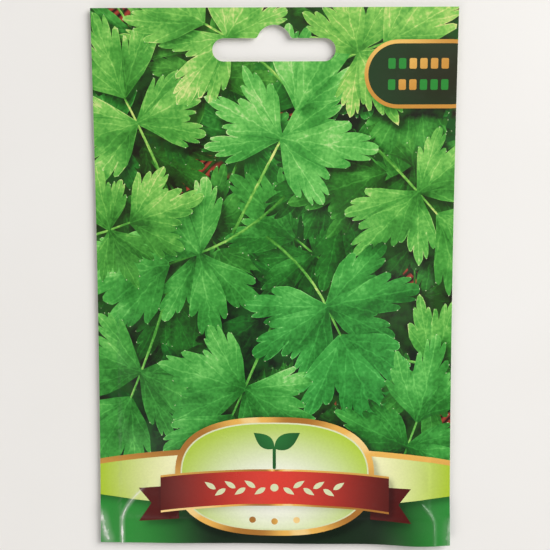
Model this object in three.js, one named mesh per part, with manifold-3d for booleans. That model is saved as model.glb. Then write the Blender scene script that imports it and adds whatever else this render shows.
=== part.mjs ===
// A flat seed packet lying on its back: two webs of coated paper, heat-sealed together
// all round, with a hang slot punched through the sealed header and loose seeds inside.
// Millimetres. +Z up, out of the printed front. +Y towards the header. The origin is on
// the table, under the middle of the packet.
import * as THREE from "three";
import { mergeVertices } from "three/addons/utils/BufferGeometryUtils.js";
import Module from "manifold-3d";

// Driving dimensions
const PACKET_WIDTH = 95;
const PACKET_HEIGHT = 143;
const WEB_THICKNESS = 0.3;
const SIDE_SEAL = 5;
const BOTTOM_SEAL = 7;
const HEADER_SEAL = 20;
const SEAL_HEIGHT = 1.2; // of the bonded faces, above the table
const FRONT_BULGE = 2.6; // of the front web over the seal, where the seeds lie
const BULGE_PEAK = 0.34; // share of the pouch's height, from the bottom seal
const BULGE_RISE = 1.1; // power of the rise from the bottom seal: a little over 1 starts it gently
const BULGE_CROWN = 1.25; // power of the crown across: over 1 eases it into the side seals
const BACK_SLOPE = 14; // width of the band where the back web comes down to the table
const SIDE_PULL = 0.5; // how far the filled pouch draws each long edge in at half height

// Hang slot: a long slot with round ends and a round crown over its middle
const SLOT_WIDTH = 32;
const SLOT_WING_HEIGHT = 5.9;
const SLOT_HEIGHT = 9.3; // to the top of the crown
const SLOT_CROWN_RADIUS = 4.5;
const SLOT_FILLET = 0.9; // between wing and crown
const SLOT_TO_TOP = 13.7; // from the slot's lower edge to the packet's top edge
const SLOT_ARC_STEPS = 7; // straight steps in each arc

// Seeds: a shallow heap low in the pouch
const SEED_LENGTH = 2.7;
const SEED_RADIUS = 0.68;
const SEED_RIBS = 5;
const SEED_WAIST = 0.05; // how far the widest ring sits below the middle, as a share of the length
const SEED_TILT = 0.15; // most that a seed tips out of level, in radians
const SEED_COUNT = 150;
const HEAP_CENTRE = [0, -26];
const HEAP_HALF_LENGTH = 15;
const HEAP_HALF_DEPTH = 10;
const HEAP_CORE_HALF_HEIGHT = 0.75;
const HEAP_CORE_STEPS = [24, 6]; // round and up
const HEAP_SPREAD = 0.985; // how far out the seeds go, as a share of the core's outline
const HEAP_CLEARANCE = 0.25; // from the lowest seed to the back web
const HEAP_RANDOM_SEED = 7331;

// The pouch is the part of the outline inside the seals.
const halfWidth = PACKET_WIDTH / 2;
const halfHeight = PACKET_HEIGHT / 2;
const pouch = {
  halfWidth: halfWidth - SIDE_SEAL,
  bottom: -halfHeight + BOTTOM_SEAL,
  top: halfHeight - HEADER_SEAL,
};

const wasm = await Module();
wasm.setup();

const WELD_DISTANCE = 1e-4;

function toSolid(geometry) {
  const bare = geometry.clone();
  bare.deleteAttribute("normal");
  bare.deleteAttribute("uv");
  const merged = mergeVertices(bare, WELD_DISTANCE);
  return new wasm.Manifold(
    new wasm.Mesh({
      numProp: 3,
      vertProperties: merged.attributes.position.array,
      triVerts: new Uint32Array(merged.index.array),
    }),
  );
}

function toGeometry(solid) {
  const mesh = solid.getMesh();
  const geometry = new THREE.BufferGeometry();
  geometry.setAttribute("position", new THREE.BufferAttribute(mesh.vertProperties, 3));
  geometry.setIndex(new THREE.BufferAttribute(mesh.triVerts, 1));
  geometry.computeVertexNormals();
  return geometry;
}

// Evenly spaced values from start to end, both included.
function steps(start, end, count) {
  return Array.from({ length: count + 1 }, (_, i) => start + ((end - start) * i) / count);
}

// The grid lines of a web: they follow the seals' inner edges, so the folds there are straight.
const COLUMNS_IN_POUCH = 18;
const ROWS_IN_POUCH = 24;
const columns = [
  -halfWidth,
  ...steps(-pouch.halfWidth, pouch.halfWidth, COLUMNS_IN_POUCH),
  halfWidth,
];
const rows = [-halfHeight, ...steps(pouch.bottom, pouch.top, ROWS_IN_POUCH), halfHeight];

// How far the front web stands over the seal: full where the seeds have settled, and
// falling to nothing at the seals.
function frontBulge(x, y) {
  const across = Math.min(1, Math.abs(x) / pouch.halfWidth);
  const up = THREE.MathUtils.clamp((y - pouch.bottom) / (pouch.top - pouch.bottom), 0, 1);
  const fall = (BULGE_RISE * (1 - BULGE_PEAK)) / BULGE_PEAK;
  const full = BULGE_PEAK ** BULGE_RISE * (1 - BULGE_PEAK) ** fall;
  const along = (up ** BULGE_RISE * (1 - up) ** fall) / full;
  return FRONT_BULGE * (1 - across ** 2) ** BULGE_CROWN * along;
}

// How far the back web hangs below the seal: down to the table inside a band along the seals.
function backDrop(x, y) {
  const inset = Math.min(pouch.halfWidth - Math.abs(x), y - pouch.bottom, pouch.top - y);
  return (SEAL_HEIGHT - WEB_THICKNESS) * THREE.MathUtils.smoothstep(inset, 0, BACK_SLOPE);
}

// Where a point of the flat web ends up across the packet once the long edges are drawn in.
function drawnIn(x, y) {
  return x - SIDE_PULL * (x / halfWidth) * (1 - (y / halfHeight) ** 2);
}

// A web as a thin box on the grid, its two faces lifted to the height that under(x, y) gives.
function webGeometry(under) {
  const across = columns.length - 1;
  const up = rows.length - 1;
  const geometry = new THREE.BoxGeometry(1, 1, 1, across, up, 1);
  const position = geometry.attributes.position;
  for (let i = 0; i < position.count; i++) {
    const x = columns[Math.round((position.getX(i) + 0.5) * across)];
    const y = rows[Math.round((position.getY(i) + 0.5) * up)];
    const face = position.getZ(i) > 0 ? WEB_THICKNESS : 0;
    position.setXYZ(i, drawnIn(x, y), y, under(x, y) + face);
  }
  return geometry;
}

// The slot's outline, drawn anticlockwise from the left end of its straight lower edge.
// Its own zero is the middle of that edge.
function slotShape() {
  const end = SLOT_WING_HEIGHT / 2;
  const straight = SLOT_WIDTH / 2 - end;
  const crownHeight = SLOT_HEIGHT - SLOT_CROWN_RADIUS;
  const filletHeight = SLOT_WING_HEIGHT + SLOT_FILLET;
  const reach = SLOT_CROWN_RADIUS + SLOT_FILLET;
  const filletX = Math.sqrt(reach ** 2 - (filletHeight - crownHeight) ** 2);
  const meet = Math.atan2(filletHeight - crownHeight, filletX);
  const shape = new THREE.Shape();
  shape.moveTo(-straight, 0);
  shape.lineTo(straight, 0);
  shape.absarc(straight, end, end, -Math.PI / 2, Math.PI / 2, false);
  shape.absarc(filletX, filletHeight, SLOT_FILLET, -Math.PI / 2, meet - Math.PI, true);
  shape.absarc(0, crownHeight, SLOT_CROWN_RADIUS, meet, Math.PI - meet, false);
  shape.absarc(-filletX, filletHeight, SLOT_FILLET, -meet, -Math.PI / 2, true);
  shape.absarc(-straight, end, end, Math.PI / 2, (3 * Math.PI) / 2, false);
  return shape;
}

// The punch that cuts the slot, long enough to go through both webs.
function slotPunch() {
  const depth = 4 * SEAL_HEIGHT;
  const punch = new THREE.ExtrudeGeometry(slotShape(), {
    depth,
    bevelEnabled: false,
    curveSegments: SLOT_ARC_STEPS,
  });
  punch.translate(0, halfHeight - SLOT_TO_TOP, SEAL_HEIGHT - depth / 2);
  return toSolid(punch);
}

const punch = slotPunch();

function punchedWeb(under) {
  return toGeometry(toSolid(webGeometry(under)).subtract(punch));
}

const frontGeometry = punchedWeb((x, y) => SEAL_HEIGHT + frontBulge(x, y));
const backGeometry = punchedWeb((x, y) => SEAL_HEIGHT - WEB_THICKNESS - backDrop(x, y));

// Seeded random numbers from 0 to 1
function randomSource(seed) {
  let state = seed;
  return () => {
    state = (state * 16807) % 2147483647;
    return state / 2147483647;
  };
}

// One seed: a pointed oval with five long ribs, lying along X.
function seedGeometry() {
  const half = SEED_LENGTH / 2;
  const profile = [
    new THREE.Vector2(0, -half),
    new THREE.Vector2(SEED_RADIUS, -SEED_LENGTH * SEED_WAIST),
    new THREE.Vector2(0, half),
  ];
  return new THREE.LatheGeometry(profile, SEED_RIBS).rotateZ(Math.PI / 2);
}

// The heap: a flat core with seeds lying half sunk in it on both faces, spread on a sunflower
// spiral so that they cover it evenly.
function heapGeometry() {
  const random = randomSource(HEAP_RANDOM_SEED);
  const goldenAngle = Math.PI * (3 - Math.sqrt(5));
  const core = new THREE.SphereGeometry(1, ...HEAP_CORE_STEPS);
  core.rotateX(Math.PI / 2);
  core.scale(HEAP_HALF_LENGTH, HEAP_HALF_DEPTH, HEAP_CORE_HALF_HEIGHT);
  let heap = toSolid(core);
  const seed = seedGeometry();
  for (let i = 0; i < SEED_COUNT; i++) {
    const out = HEAP_SPREAD * Math.sqrt((i + 0.5) / SEED_COUNT);
    const face = i % 2 ? 1 : -1;
    const turn = i * goldenAngle;
    const height = face * HEAP_CORE_HALF_HEIGHT * Math.sqrt(1 - out ** 2);
    const placed = seed.clone();
    placed.rotateX(random() * 2 * Math.PI);
    placed.rotateY((2 * random() - 1) * SEED_TILT);
    placed.rotateZ(random() * 2 * Math.PI);
    placed.translate(
      out * HEAP_HALF_LENGTH * Math.cos(turn),
      out * HEAP_HALF_DEPTH * Math.sin(turn),
      height,
    );
    heap = heap.add(toSolid(placed));
  }
  const geometry = toGeometry(heap);
  geometry.computeBoundingBox();
  const low = WEB_THICKNESS + HEAP_CLEARANCE - geometry.boundingBox.min.z;
  return geometry.translate(HEAP_CENTRE[0], HEAP_CENTRE[1], low);
}

const printedFront = new THREE.MeshStandardMaterial({ color: 0x3f9a45, roughness: 0.35, metalness: 0 });
const printedBack = new THREE.MeshStandardMaterial({ color: 0xe8eed2, roughness: 0.4, metalness: 0 });
const seedHusk = new THREE.MeshStandardMaterial({ color: 0x8a7350, roughness: 0.85, metalness: 0 });

const packet = new THREE.Group();

function addPiece(name, geometry, material) {
  const mesh = new THREE.Mesh(geometry, material);
  mesh.name = name;
  packet.add(mesh);
}

addPiece("front_panel", frontGeometry, printedFront);
addPiece("back_panel", backGeometry, printedBack);
addPiece("seeds", heapGeometry(), seedHusk);

export default packet;
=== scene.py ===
import math
import random
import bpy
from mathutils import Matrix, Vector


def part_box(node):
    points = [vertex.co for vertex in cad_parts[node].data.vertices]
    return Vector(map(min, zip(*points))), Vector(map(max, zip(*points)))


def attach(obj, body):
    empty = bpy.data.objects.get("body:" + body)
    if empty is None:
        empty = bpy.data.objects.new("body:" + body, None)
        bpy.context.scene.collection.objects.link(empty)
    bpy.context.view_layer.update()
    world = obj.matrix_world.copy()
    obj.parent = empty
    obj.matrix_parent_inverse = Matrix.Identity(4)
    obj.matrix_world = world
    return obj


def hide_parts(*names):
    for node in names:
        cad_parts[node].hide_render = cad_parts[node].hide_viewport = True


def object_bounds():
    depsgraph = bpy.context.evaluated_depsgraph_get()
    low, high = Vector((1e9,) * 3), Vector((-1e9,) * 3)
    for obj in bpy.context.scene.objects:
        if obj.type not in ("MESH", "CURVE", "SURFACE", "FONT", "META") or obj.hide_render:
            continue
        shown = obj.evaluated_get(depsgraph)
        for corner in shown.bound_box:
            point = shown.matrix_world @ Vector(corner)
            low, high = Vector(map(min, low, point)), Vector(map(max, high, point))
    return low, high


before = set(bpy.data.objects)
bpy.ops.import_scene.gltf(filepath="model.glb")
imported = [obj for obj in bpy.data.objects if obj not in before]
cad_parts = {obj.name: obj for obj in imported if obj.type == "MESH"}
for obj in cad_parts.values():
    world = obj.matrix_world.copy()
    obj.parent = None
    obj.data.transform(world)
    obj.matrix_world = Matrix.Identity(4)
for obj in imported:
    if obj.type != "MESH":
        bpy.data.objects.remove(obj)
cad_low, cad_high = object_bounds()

from types import SimpleNamespace

import bpy
import numpy as np
from mathutils import Euler, Matrix, Vector
from mathutils.geometry import delaunay_2d_cdt

# The cut
# Front and back are cut from rolls of coated paper to one outline, and the hang slot is
# punched through both at once. Filling the pouch draws the long edges in a little.
# Sizes here and below are in millimetres on the flat web, with x across and y towards the header.
MM = 0.001
QUARTER_TURN = math.pi / 2
HALF_WIDTH = (cad_high.x - cad_low.x) / 2 / MM
HALF_HEIGHT = (cad_high.y - cad_low.y) / 2 / MM
SIDE_PULL = 0.5         # how far each long edge is drawn in at half height
CUT_STEP = 1.0          # between points along a straight edge
SLOT_WIDTH = 32
SLOT_WING_HEIGHT = 5.9
SLOT_HEIGHT = 9.3       # to the top of the crown
SLOT_CROWN_RADIUS = 4.5
SLOT_FILLET = 0.9       # between wing and crown
SLOT_TO_TOP = 13.7      # from the slot's lower edge to the packet's top edge
SLOT_FOOT = HALF_HEIGHT - SLOT_TO_TOP
SLOT_ARC_STEPS = 14


def drawn_in(x, y):
    """Where a point of the flat web ends up across the packet once it is filled."""
    return x - SIDE_PULL * x / HALF_WIDTH * (1 - (y / HALF_HEIGHT) ** 2)


def line(start, end, step):
    """Points from start towards end, about a step apart, without the end itself."""
    count = max(1, round(math.dist(start, end) / step))
    share = np.arange(count)[:, None] / count
    return np.array(start) + share * (np.array(end) - np.array(start))


def arc(centre, radius, start, end, steps):
    """Points of an arc from one angle to another, in radians, with both ends."""
    angle = np.linspace(start, end, steps + 1)
    return np.array(centre) + radius * np.column_stack([np.cos(angle), np.sin(angle)])


def polygon(corners, step):
    """A closed outline through the corners, with points about a step apart."""
    return np.concatenate([line(a, b, step) for a, b in zip(corners, corners[1:] + corners[:1])])


def slot_outline():
    """The hang slot: a long slot with round ends and a round crown over its middle."""
    end = SLOT_WING_HEIGHT / 2
    straight = SLOT_WIDTH / 2 - end
    crown = SLOT_FOOT + SLOT_HEIGHT - SLOT_CROWN_RADIUS
    fillet = SLOT_FOOT + SLOT_WING_HEIGHT + SLOT_FILLET
    reach = SLOT_CROWN_RADIUS + SLOT_FILLET
    fillet_x = math.sqrt(reach ** 2 - (fillet - crown) ** 2)
    meet = math.atan2(fillet - crown, fillet_x)
    steps = SLOT_ARC_STEPS
    return np.concatenate([
        line((-straight, SLOT_FOOT), (straight, SLOT_FOOT), CUT_STEP),
        arc((straight, SLOT_FOOT + end), end, -QUARTER_TURN, QUARTER_TURN, steps),
        arc((fillet_x, fillet), SLOT_FILLET, -QUARTER_TURN, meet - math.pi, steps // 2),
        arc((0, crown), SLOT_CROWN_RADIUS, meet, math.pi - meet, steps)[1:-1],
        arc((-fillet_x, fillet), SLOT_FILLET, -meet, -QUARTER_TURN, steps // 2),
        arc((-straight, SLOT_FOOT + end), end, QUARTER_TURN, 3 * QUARTER_TURN, steps)[:-1],
    ])


web_outline = polygon([
    (-HALF_WIDTH, -HALF_HEIGHT),
    (HALF_WIDTH, -HALF_HEIGHT),
    (HALF_WIDTH, HALF_HEIGHT),
    (-HALF_WIDTH, HALF_HEIGHT),
], CUT_STEP)

# The lie of the packet
# The seeds push the front web out, and the back web lies on the table. The seals are bonded
# flat a little above the table, and handling has left the foot waved and creased.
WEB = 0.15              # thickness of a web, with its half of the seal between the two
GLUE = 0.02             # that half of the seal
SEAL_HEIGHT = 1.2       # of the seal above the table
SIDE_SEAL = 5
BOTTOM_SEAL = 7
HEADER_SEAL = 20
FRONT_BULGE = 2.6       # of the front web over the seal, where the seeds lie
BULGE_PEAK = 0.34       # share of the pouch's height, from the bottom seal
BULGE_RISE = 1.1        # power of the rise from the bottom seal: a little over 1 starts it gently
BULGE_CROWN = 1.25      # power of the crown across: over 1 eases it into the side seals
BACK_SLOPE = 14         # width of the band where the back web comes down to the table
POUCH_HALF_WIDTH = HALF_WIDTH - SIDE_SEAL
POUCH_FOOT = BOTTOM_SEAL - HALF_HEIGHT
POUCH_TOP = HALF_HEIGHT - HEADER_SEAL
SEAL_STEP = 0.14        # the front web's small step up at the inner edge of a seal
SEAL_STEP_WIDTH = 0.9
SEAL_STEP_FADE = (-20, 40)  # y from which the step fades out, and y where it is gone
PUCKER = 0.16           # height of the ripples that run in from the seals
PUCKER_START = 3        # how far inside a seal they have their full height
PUCKER_REACH = 13       # and over which they die out
PUCKER_FADE = (5, 45)   # y from which they fade out, and y where they are gone
PUCKER_CORNER = 0.3     # how softly those of the sides turn into those of the foot
SIDE_RIPPLE = (0.42, 0.9, 0.11, 0.05)  # rate, sway, rate of the sway, lean
FOOT_RIPPLE = (0.37, 0.8, 0.13, -0.04)
FOOT_WAVES = [(39, 8, 1.9), (-27, 12, 0.45), (8, 11, 0.3)]  # middle, spread and height
FOOT_WAVE_REACH = 15
CREASE_STEPS = 8
CREASE_HEIGHT = 0.16
CREASE_WIDTH = 0.4
CREASE_SWELL = 0.12     # of the broad ridge that a crease stands on
CREASE_SWELL_WIDTH = 2.2
OUT_OF_REACH = 9.0      # a distance past everything that fades with distance
TINY = 1e-12


def curve(controls, steps):
    """Points of a Bezier curve with four controls, without its end."""
    share = (np.arange(steps) / steps)[:, None]
    first, second, third, last = np.array(controls, float)
    rest = 1 - share
    near_start = rest ** 3 * first + 3 * rest ** 2 * share * second
    return near_start + 3 * rest * share ** 2 * third + share ** 3 * last


def new_crease(controls, end, width, wear_and_highlight):
    """A crease that follows a curve and runs on straight to its end, with how wide its crack is and
    how white it shows there: ink that has come off, and a painted highlight of the fold."""
    path = np.concatenate([curve(controls, CREASE_STEPS), line(controls[-1], end, CUT_STEP), [end]])
    return SimpleNamespace(path=path, width=width, wear_and_highlight=wear_and_highlight)


# The white along each crease is partly ink that has cracked and rubbed off, partly a painted highlight of
# the fold.
CREASES = [
    new_crease([(-34.2, -54.4), (-37.6, -57.8), (-41.6, -61.6), (-41.6, -65.6)], (-41.5, -71.5), 0.42, 0.95),
    new_crease([(-47.6, -60.6), (-47.0, -64.4), (-46.7, -66.6), (-46.0, -69.0)], (-45.4, -70.4), 0.95, 0.9),
    new_crease([(40.0, -60.6), (41.6, -62.2), (43.2, -63.5), (43.3, -66.5)], (43.3, -71.5), 0.35, 0.17),
    new_crease([(47.5, -63.0), (47.2, -65.0), (47.1, -67.0), (47.0, -69.0)], (47.0, -71.5), 0.9, 0.3),
]


def ease(value, low, high):
    """Smooth step from 0 at low to 1 at high."""
    share = np.clip((value - low) / (high - low), 0, 1)
    return share * share * (3 - 2 * share)


def nearest_on_lines(x, y, starts, ends):
    """How far each point is from the nearest of some straight pieces, and its place among them,
    counted in pieces."""
    points = np.column_stack([x, y])[:, None]
    run = (ends - starts)[None]
    share = ((points - starts) * run).sum(2) / np.maximum((run * run).sum(2), TINY)
    share = np.clip(share, 0, 1)
    away = np.linalg.norm(points - starts - share[..., None] * run, axis=2)
    nearest = away.argmin(1)
    each = np.arange(len(away))
    return away[each, nearest], nearest + share[each, nearest]


def crease_ridge(x, y):
    """How far the creases stand up from the web."""
    ridge = np.zeros_like(x)
    for crease in CREASES:
        away, _ = nearest_on_lines(x, y, crease.path[:-1], crease.path[1:])
        ridge += CREASE_HEIGHT * np.exp(-(away / CREASE_WIDTH) ** 2)
        ridge += CREASE_SWELL * np.exp(-(away / CREASE_SWELL_WIDTH) ** 2)
    return ridge


def crease_wear_and_highlight(x, y):
    """How far each point is from the nearest crack, in widths of that crack, and the wear and painted
    highlight there.
    """
    nearest = np.full(len(x), OUT_OF_REACH)
    wear_and_highlight = np.zeros(len(x))
    for crease in CREASES:
        away, place = nearest_on_lines(x, y, crease.path[:-1], crease.path[1:])
        away = away / crease.width
        closer = away < nearest
        nearest[closer] = away[closer]
        wear_and_highlight[closer] = (crease.wear_and_highlight * ease(place, 0, CREASE_STEPS / 2))[closer]
    return nearest, wear_and_highlight


def seal_inset(x, y):
    """How far inside the pouch a point is, from the nearest seal."""
    sides = POUCH_HALF_WIDTH - np.abs(x)
    return np.maximum(0, np.minimum(sides, np.minimum(y - POUCH_FOOT, POUCH_TOP - y)))


def front_bulge(x, y):
    """How far the seeds push the front web out over the seal."""
    across = np.minimum(1, np.abs(x) / POUCH_HALF_WIDTH)
    up = np.clip((y - POUCH_FOOT) / (POUCH_TOP - POUCH_FOOT), 0, 1)
    fall = BULGE_RISE * (1 - BULGE_PEAK) / BULGE_PEAK
    full = BULGE_PEAK ** BULGE_RISE * (1 - BULGE_PEAK) ** fall
    return FRONT_BULGE * (1 - across ** 2) ** BULGE_CROWN * up ** BULGE_RISE * (1 - up) ** fall / full


def ripples(along, across, rate, sway, sway_rate, lean):
    """Uneven ripples along one direction that lean a little towards the other."""
    return np.sin(rate * along + sway * np.sin(sway_rate * along) + lean * across)


def puckers(x, y):
    """Shallow ripples that start at the seals and die out over the pouch."""
    inset = seal_inset(x, y)
    near = ease(inset, 0, PUCKER_START) * np.exp(-inset / PUCKER_REACH)
    near = near * (1 - ease(y, *PUCKER_FADE))
    beside = np.abs(x) / POUCH_HALF_WIDTH - np.abs(y) / HALF_HEIGHT
    beside = ease(beside, -PUCKER_CORNER, PUCKER_CORNER)
    sides = ripples(y, x, *SIDE_RIPPLE)
    foot = ripples(x, y, *FOOT_RIPPLE)
    return PUCKER * near * (beside * sides + (1 - beside) * foot)


def foot_lift(x, y):
    """How far the waved foot of the packet stands off the table."""
    wave = sum(height * np.exp(-((x - middle) / spread) ** 2) for middle, spread, height in FOOT_WAVES)
    return wave * (1 - ease(y, -HALF_HEIGHT, FOOT_WAVE_REACH - HALF_HEIGHT))


def front_inside(x, y):
    """Height of the front web's inner face."""
    return SEAL_HEIGHT + GLUE + front_bulge(x, y) + puckers(x, y) + foot_lift(x, y)


def front_face(x, y):
    """Height of the printed front, which also shows the seals' edges and the creases."""
    step = SEAL_STEP * ease(seal_inset(x, y), 0, SEAL_STEP_WIDTH) * (1 - ease(y, *SEAL_STEP_FADE))
    return front_inside(x, y) + WEB - GLUE + step + crease_ridge(x, y)


def back_face(x, y):
    """Height of the printed back, which lies on the table."""
    drop = (SEAL_HEIGHT - WEB) * ease(seal_inset(x, y), 0, BACK_SLOPE)
    return SEAL_HEIGHT - WEB - drop + foot_lift(x, y)


def back_inside(x, y):
    """Height of the back web's inner face."""
    return back_face(x, y) + WEB - GLUE


# The print on coated paper
# Both webs are printed in flat inks and sealed under a clear glossy coat. The coat is a
# little uneven, and where the paper has been creased the ink has cracked to white paper.
# Along and beside each crack a highlight of the fold is painted in as well.
# The sizes of patches are in millimetres, here and in the other materials.
MOST_NOISE = (0.3, 0.7)     # most of a noise lies between these
ALL_NOISE = (0.2, 0.8)      # and nearly all of it between these
PAPER_WHITE = (0.86, 0.85, 0.82, 1)
PAPER_SHADE = (0.78, 0.76, 0.70, 1)
PAPER_FIBRE = 0.25
PAPER_FIBRE_HEIGHT = 0.01
PAPER_ROUGHNESS = (0.75, 0.95)
COAT_SMEAR = 22
COAT_ROUGHNESS = (0.27, 0.37)
COAT_SPECK = 1.3
COAT_SPECK_SPAN = (0.55, 0.75)
COAT_SPECK_ROUGHNESS = 0.06
COAT_WAVE = 9
COAT_WAVE_HEIGHT = 0.06
COAT_PEEL = 0.7
COAT_PEEL_HEIGHT = 0.006
INK_MOTTLE = 0.6
INK_MOTTLE_LIGHT = (0.975, 1.025)
INK_SHADED = 0.45           # light left on an ink in the picture's full shade
CRACK_RAG = 1.1
CRACK_RAG_WIDTH = (0.65, 1.8)
CRACK_EDGE = (0.1, 1.0)     # where a crack starts to close and where it ends, in its widths
CRACK_BREAK = 2.6           # stretches of a crack where some of the ink has held
CRACK_BREAK_SPAN = (0.36, 0.62)
CRACK_LEAST = 0.4
RUB_AND_HIGHLIGHT = 0.22                  # ink rubbed off beside a crack, and a painted highlight of the fold there
RUB_AND_HIGHLIGHT_REACH = 2.6             # in widths of the crack


def add_node(tree, kind, inputs=None, **settings):
    """Adds a node. Each input is a constant, or another node's output to link."""
    made = tree.nodes.new(kind)
    for name, value in settings.items():
        setattr(made, name, value)
    for key, value in (inputs or {}).items():
        if isinstance(value, bpy.types.NodeSocket):
            tree.links.new(value, made.inputs[key])
        else:
            made.inputs[key].default_value = value
    return made


def maths(tree, operation, *values):
    """The output of a Math node over some constants and outputs."""
    return add_node(tree, "ShaderNodeMath", dict(enumerate(values)), operation=operation).outputs[0]


def vector_maths(tree, operation, *values):
    """A Vector Math node over some constants and outputs."""
    return add_node(tree, "ShaderNodeVectorMath", dict(enumerate(values)), operation=operation)


def fade(tree, value, low, high, start=0.0, end=1.0):
    """A smooth change from start to end as the value goes from low to high."""
    inputs = {"Value": value, "From Min": low, "From Max": high, "To Min": start, "To Max": end}
    made = add_node(tree, "ShaderNodeMapRange", inputs, interpolation_type="SMOOTHSTEP")
    return made.outputs["Result"]


def blend_colour(tree, factor, first, second, mode="MIX"):
    """One colour laid over another."""
    inputs = {0: factor, 6: first, 7: second}
    return add_node(tree, "ShaderNodeMix", inputs, data_type="RGBA", blend_type=mode).outputs[2]


def tinted(tree, colour, red, green, blue):
    """A colour with its red, green and blue each multiplied by a value."""
    tint = add_node(tree, "ShaderNodeCombineColor", {"Red": red, "Green": green, "Blue": blue})
    return blend_colour(tree, 1.0, colour, tint.outputs["Color"], "MULTIPLY")


def attribute(tree, name, output="Fac"):
    """What the mesh keeps under a name."""
    return add_node(tree, "ShaderNodeAttribute", attribute_name=name).outputs[output]


def object_place(tree):
    """The place of a point on the object, in metres."""
    return add_node(tree, "ShaderNodeTexCoord").outputs["Object"]


def noise(tree, size, detail=2.0):
    """Noise with patches of about this size."""
    inputs = {"Vector": object_place(tree), "Scale": 1 / (size * MM), "Detail": detail}
    return add_node(tree, "ShaderNodeTexNoise", inputs).outputs["Fac"]


def bump(tree, height, rise, strength, **more):
    """The normal of a surface that a height from 0 to 1 lifts by up to a rise in millimetres."""
    inputs = {"Height": height, "Distance": rise * MM, "Strength": strength, **more}
    return add_node(tree, "ShaderNodeBump", inputs).outputs["Normal"]


def shader_group(name, inputs, outputs):
    """An empty shader group with these sockets, and its input and output nodes."""
    tree = bpy.data.node_groups.new(name, "ShaderNodeTree")
    for socket, kind in inputs:
        tree.interface.new_socket(socket, in_out="INPUT", socket_type=kind)
    for socket, kind in outputs:
        tree.interface.new_socket(socket, in_out="OUTPUT", socket_type=kind)
    return tree, tree.nodes.new("NodeGroupInput"), tree.nodes.new("NodeGroupOutput")


def clear_coat_group():
    """The coat's uneven gloss and its slight waves and orange peel."""
    outputs = [("Roughness", "NodeSocketFloat"), ("Normal", "NodeSocketVector")]
    tree, _, out = shader_group("clear_coat", [], outputs)
    smears = fade(tree, noise(tree, COAT_SMEAR), *MOST_NOISE, *COAT_ROUGHNESS)
    specks = fade(tree, noise(tree, COAT_SPECK), *COAT_SPECK_SPAN, 0.0, COAT_SPECK_ROUGHNESS)
    tree.links.new(maths(tree, "ADD", smears, specks), out.inputs["Roughness"])
    waves = bump(tree, noise(tree, COAT_WAVE, detail=1.0), COAT_WAVE_HEIGHT, strength=0.5)
    peel = bump(tree, noise(tree, COAT_PEEL), COAT_PEEL_HEIGHT, strength=0.35, Normal=waves)
    tree.links.new(peel, out.inputs["Normal"])
    return tree


def worn_and_highlit_ink_group():
    """Ink as it looks after printing and handling: mottled, and white along creases, where it has
    cracked and where a highlight of the fold is painted.
    """
    inputs = [("Ink", "NodeSocketColor")]
    outputs = [("Colour", "NodeSocketColor")]
    tree, given, out = shader_group("worn_and_highlit_ink", inputs, outputs)
    mottle = fade(tree, noise(tree, INK_MOTTLE, detail=3.0), *MOST_NOISE, *INK_MOTTLE_LIGHT)
    mottled = tinted(tree, given.outputs["Ink"], mottle, mottle, mottle)
    # The white along a crease is partly cracked and rubbed ink and partly a painted highlight of the fold.
    distance = attribute(tree, "crack_distance")
    rags = fade(tree, noise(tree, CRACK_RAG, detail=3.0), *MOST_NOISE, *CRACK_RAG_WIDTH)
    crack_and_highlight = fade(tree, maths(tree, "MULTIPLY", distance, rags), *CRACK_EDGE, 1.0, 0.0)
    broken = fade(tree, noise(tree, CRACK_BREAK, detail=4.0), *CRACK_BREAK_SPAN, CRACK_LEAST, 1.0)
    rubbed_and_highlit = fade(tree, distance, 0.0, RUB_AND_HIGHLIGHT_REACH, RUB_AND_HIGHLIGHT, 0.0)
    lost_and_highlit = maths(tree, "MAXIMUM", maths(tree, "MULTIPLY", crack_and_highlight, broken), rubbed_and_highlit)
    lost_and_highlit = maths(tree, "MULTIPLY", lost_and_highlit, attribute(tree, "crack_wear_and_highlight"))
    tree.links.new(blend_colour(tree, lost_and_highlit, mottled, PAPER_WHITE), out.inputs["Colour"])
    return tree


clear_coat = clear_coat_group()
worn_and_highlit_ink = worn_and_highlit_ink_group()


def new_material(name):
    """A material with an empty tree."""
    material = bpy.data.materials.new(name)
    material.use_nodes = True
    material.node_tree.nodes.clear()
    return material, material.node_tree


def surface(tree, inputs):
    """Ends a material in one Principled shader with these inputs."""
    shader = add_node(tree, "ShaderNodeBsdfPrincipled", inputs)
    add_node(tree, "ShaderNodeOutputMaterial", {"Surface": shader.outputs["BSDF"]})


def coat_over(tree, ink):
    """Lays the clear coat over an ink and finishes the material."""
    worn_and_highlit = add_node(tree, "ShaderNodeGroup", {"Ink": ink}, node_tree=worn_and_highlit_ink)
    coat = add_node(tree, "ShaderNodeGroup", node_tree=clear_coat)
    surface(tree, {
        "Base Color": worn_and_highlit.outputs["Colour"],
        "Roughness": coat.outputs["Roughness"],
        "Normal": coat.outputs["Normal"],
        "Specular IOR Level": 0.5,
        "Coat Weight": 0.15,
        "Coat Roughness": 0.14,
    })


inks = {}               # the materials of the inks, by name


def add_ink(name, middle, rim, centre, reach, core=0.0):
    """Adds an ink that runs from one colour at a centre to another at the reach, in millimetres. The
    first colour holds over a core, which is a share of the reach."""
    inks[name], tree = new_material(name + "_ink")
    moved = vector_maths(tree, "SUBTRACT", object_place(tree), (centre[0] * MM, centre[1] * MM, 0))
    scale = (1 / (reach[0] * MM), 1 / (reach[1] * MM), 0)
    scaled = vector_maths(tree, "MULTIPLY", moved.outputs["Vector"], scale)
    out = vector_maths(tree, "LENGTH", scaled.outputs["Vector"]).outputs["Value"]
    colour = blend_colour(tree, fade(tree, out, core, 1.0), (*middle, 1), (*rim, 1))
    dim = fade(tree, attribute(tree, "picture_shade"), 0.0, 1.0, 1.0, INK_SHADED)
    coat_over(tree, tinted(tree, colour, dim, dim, dim))


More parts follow.
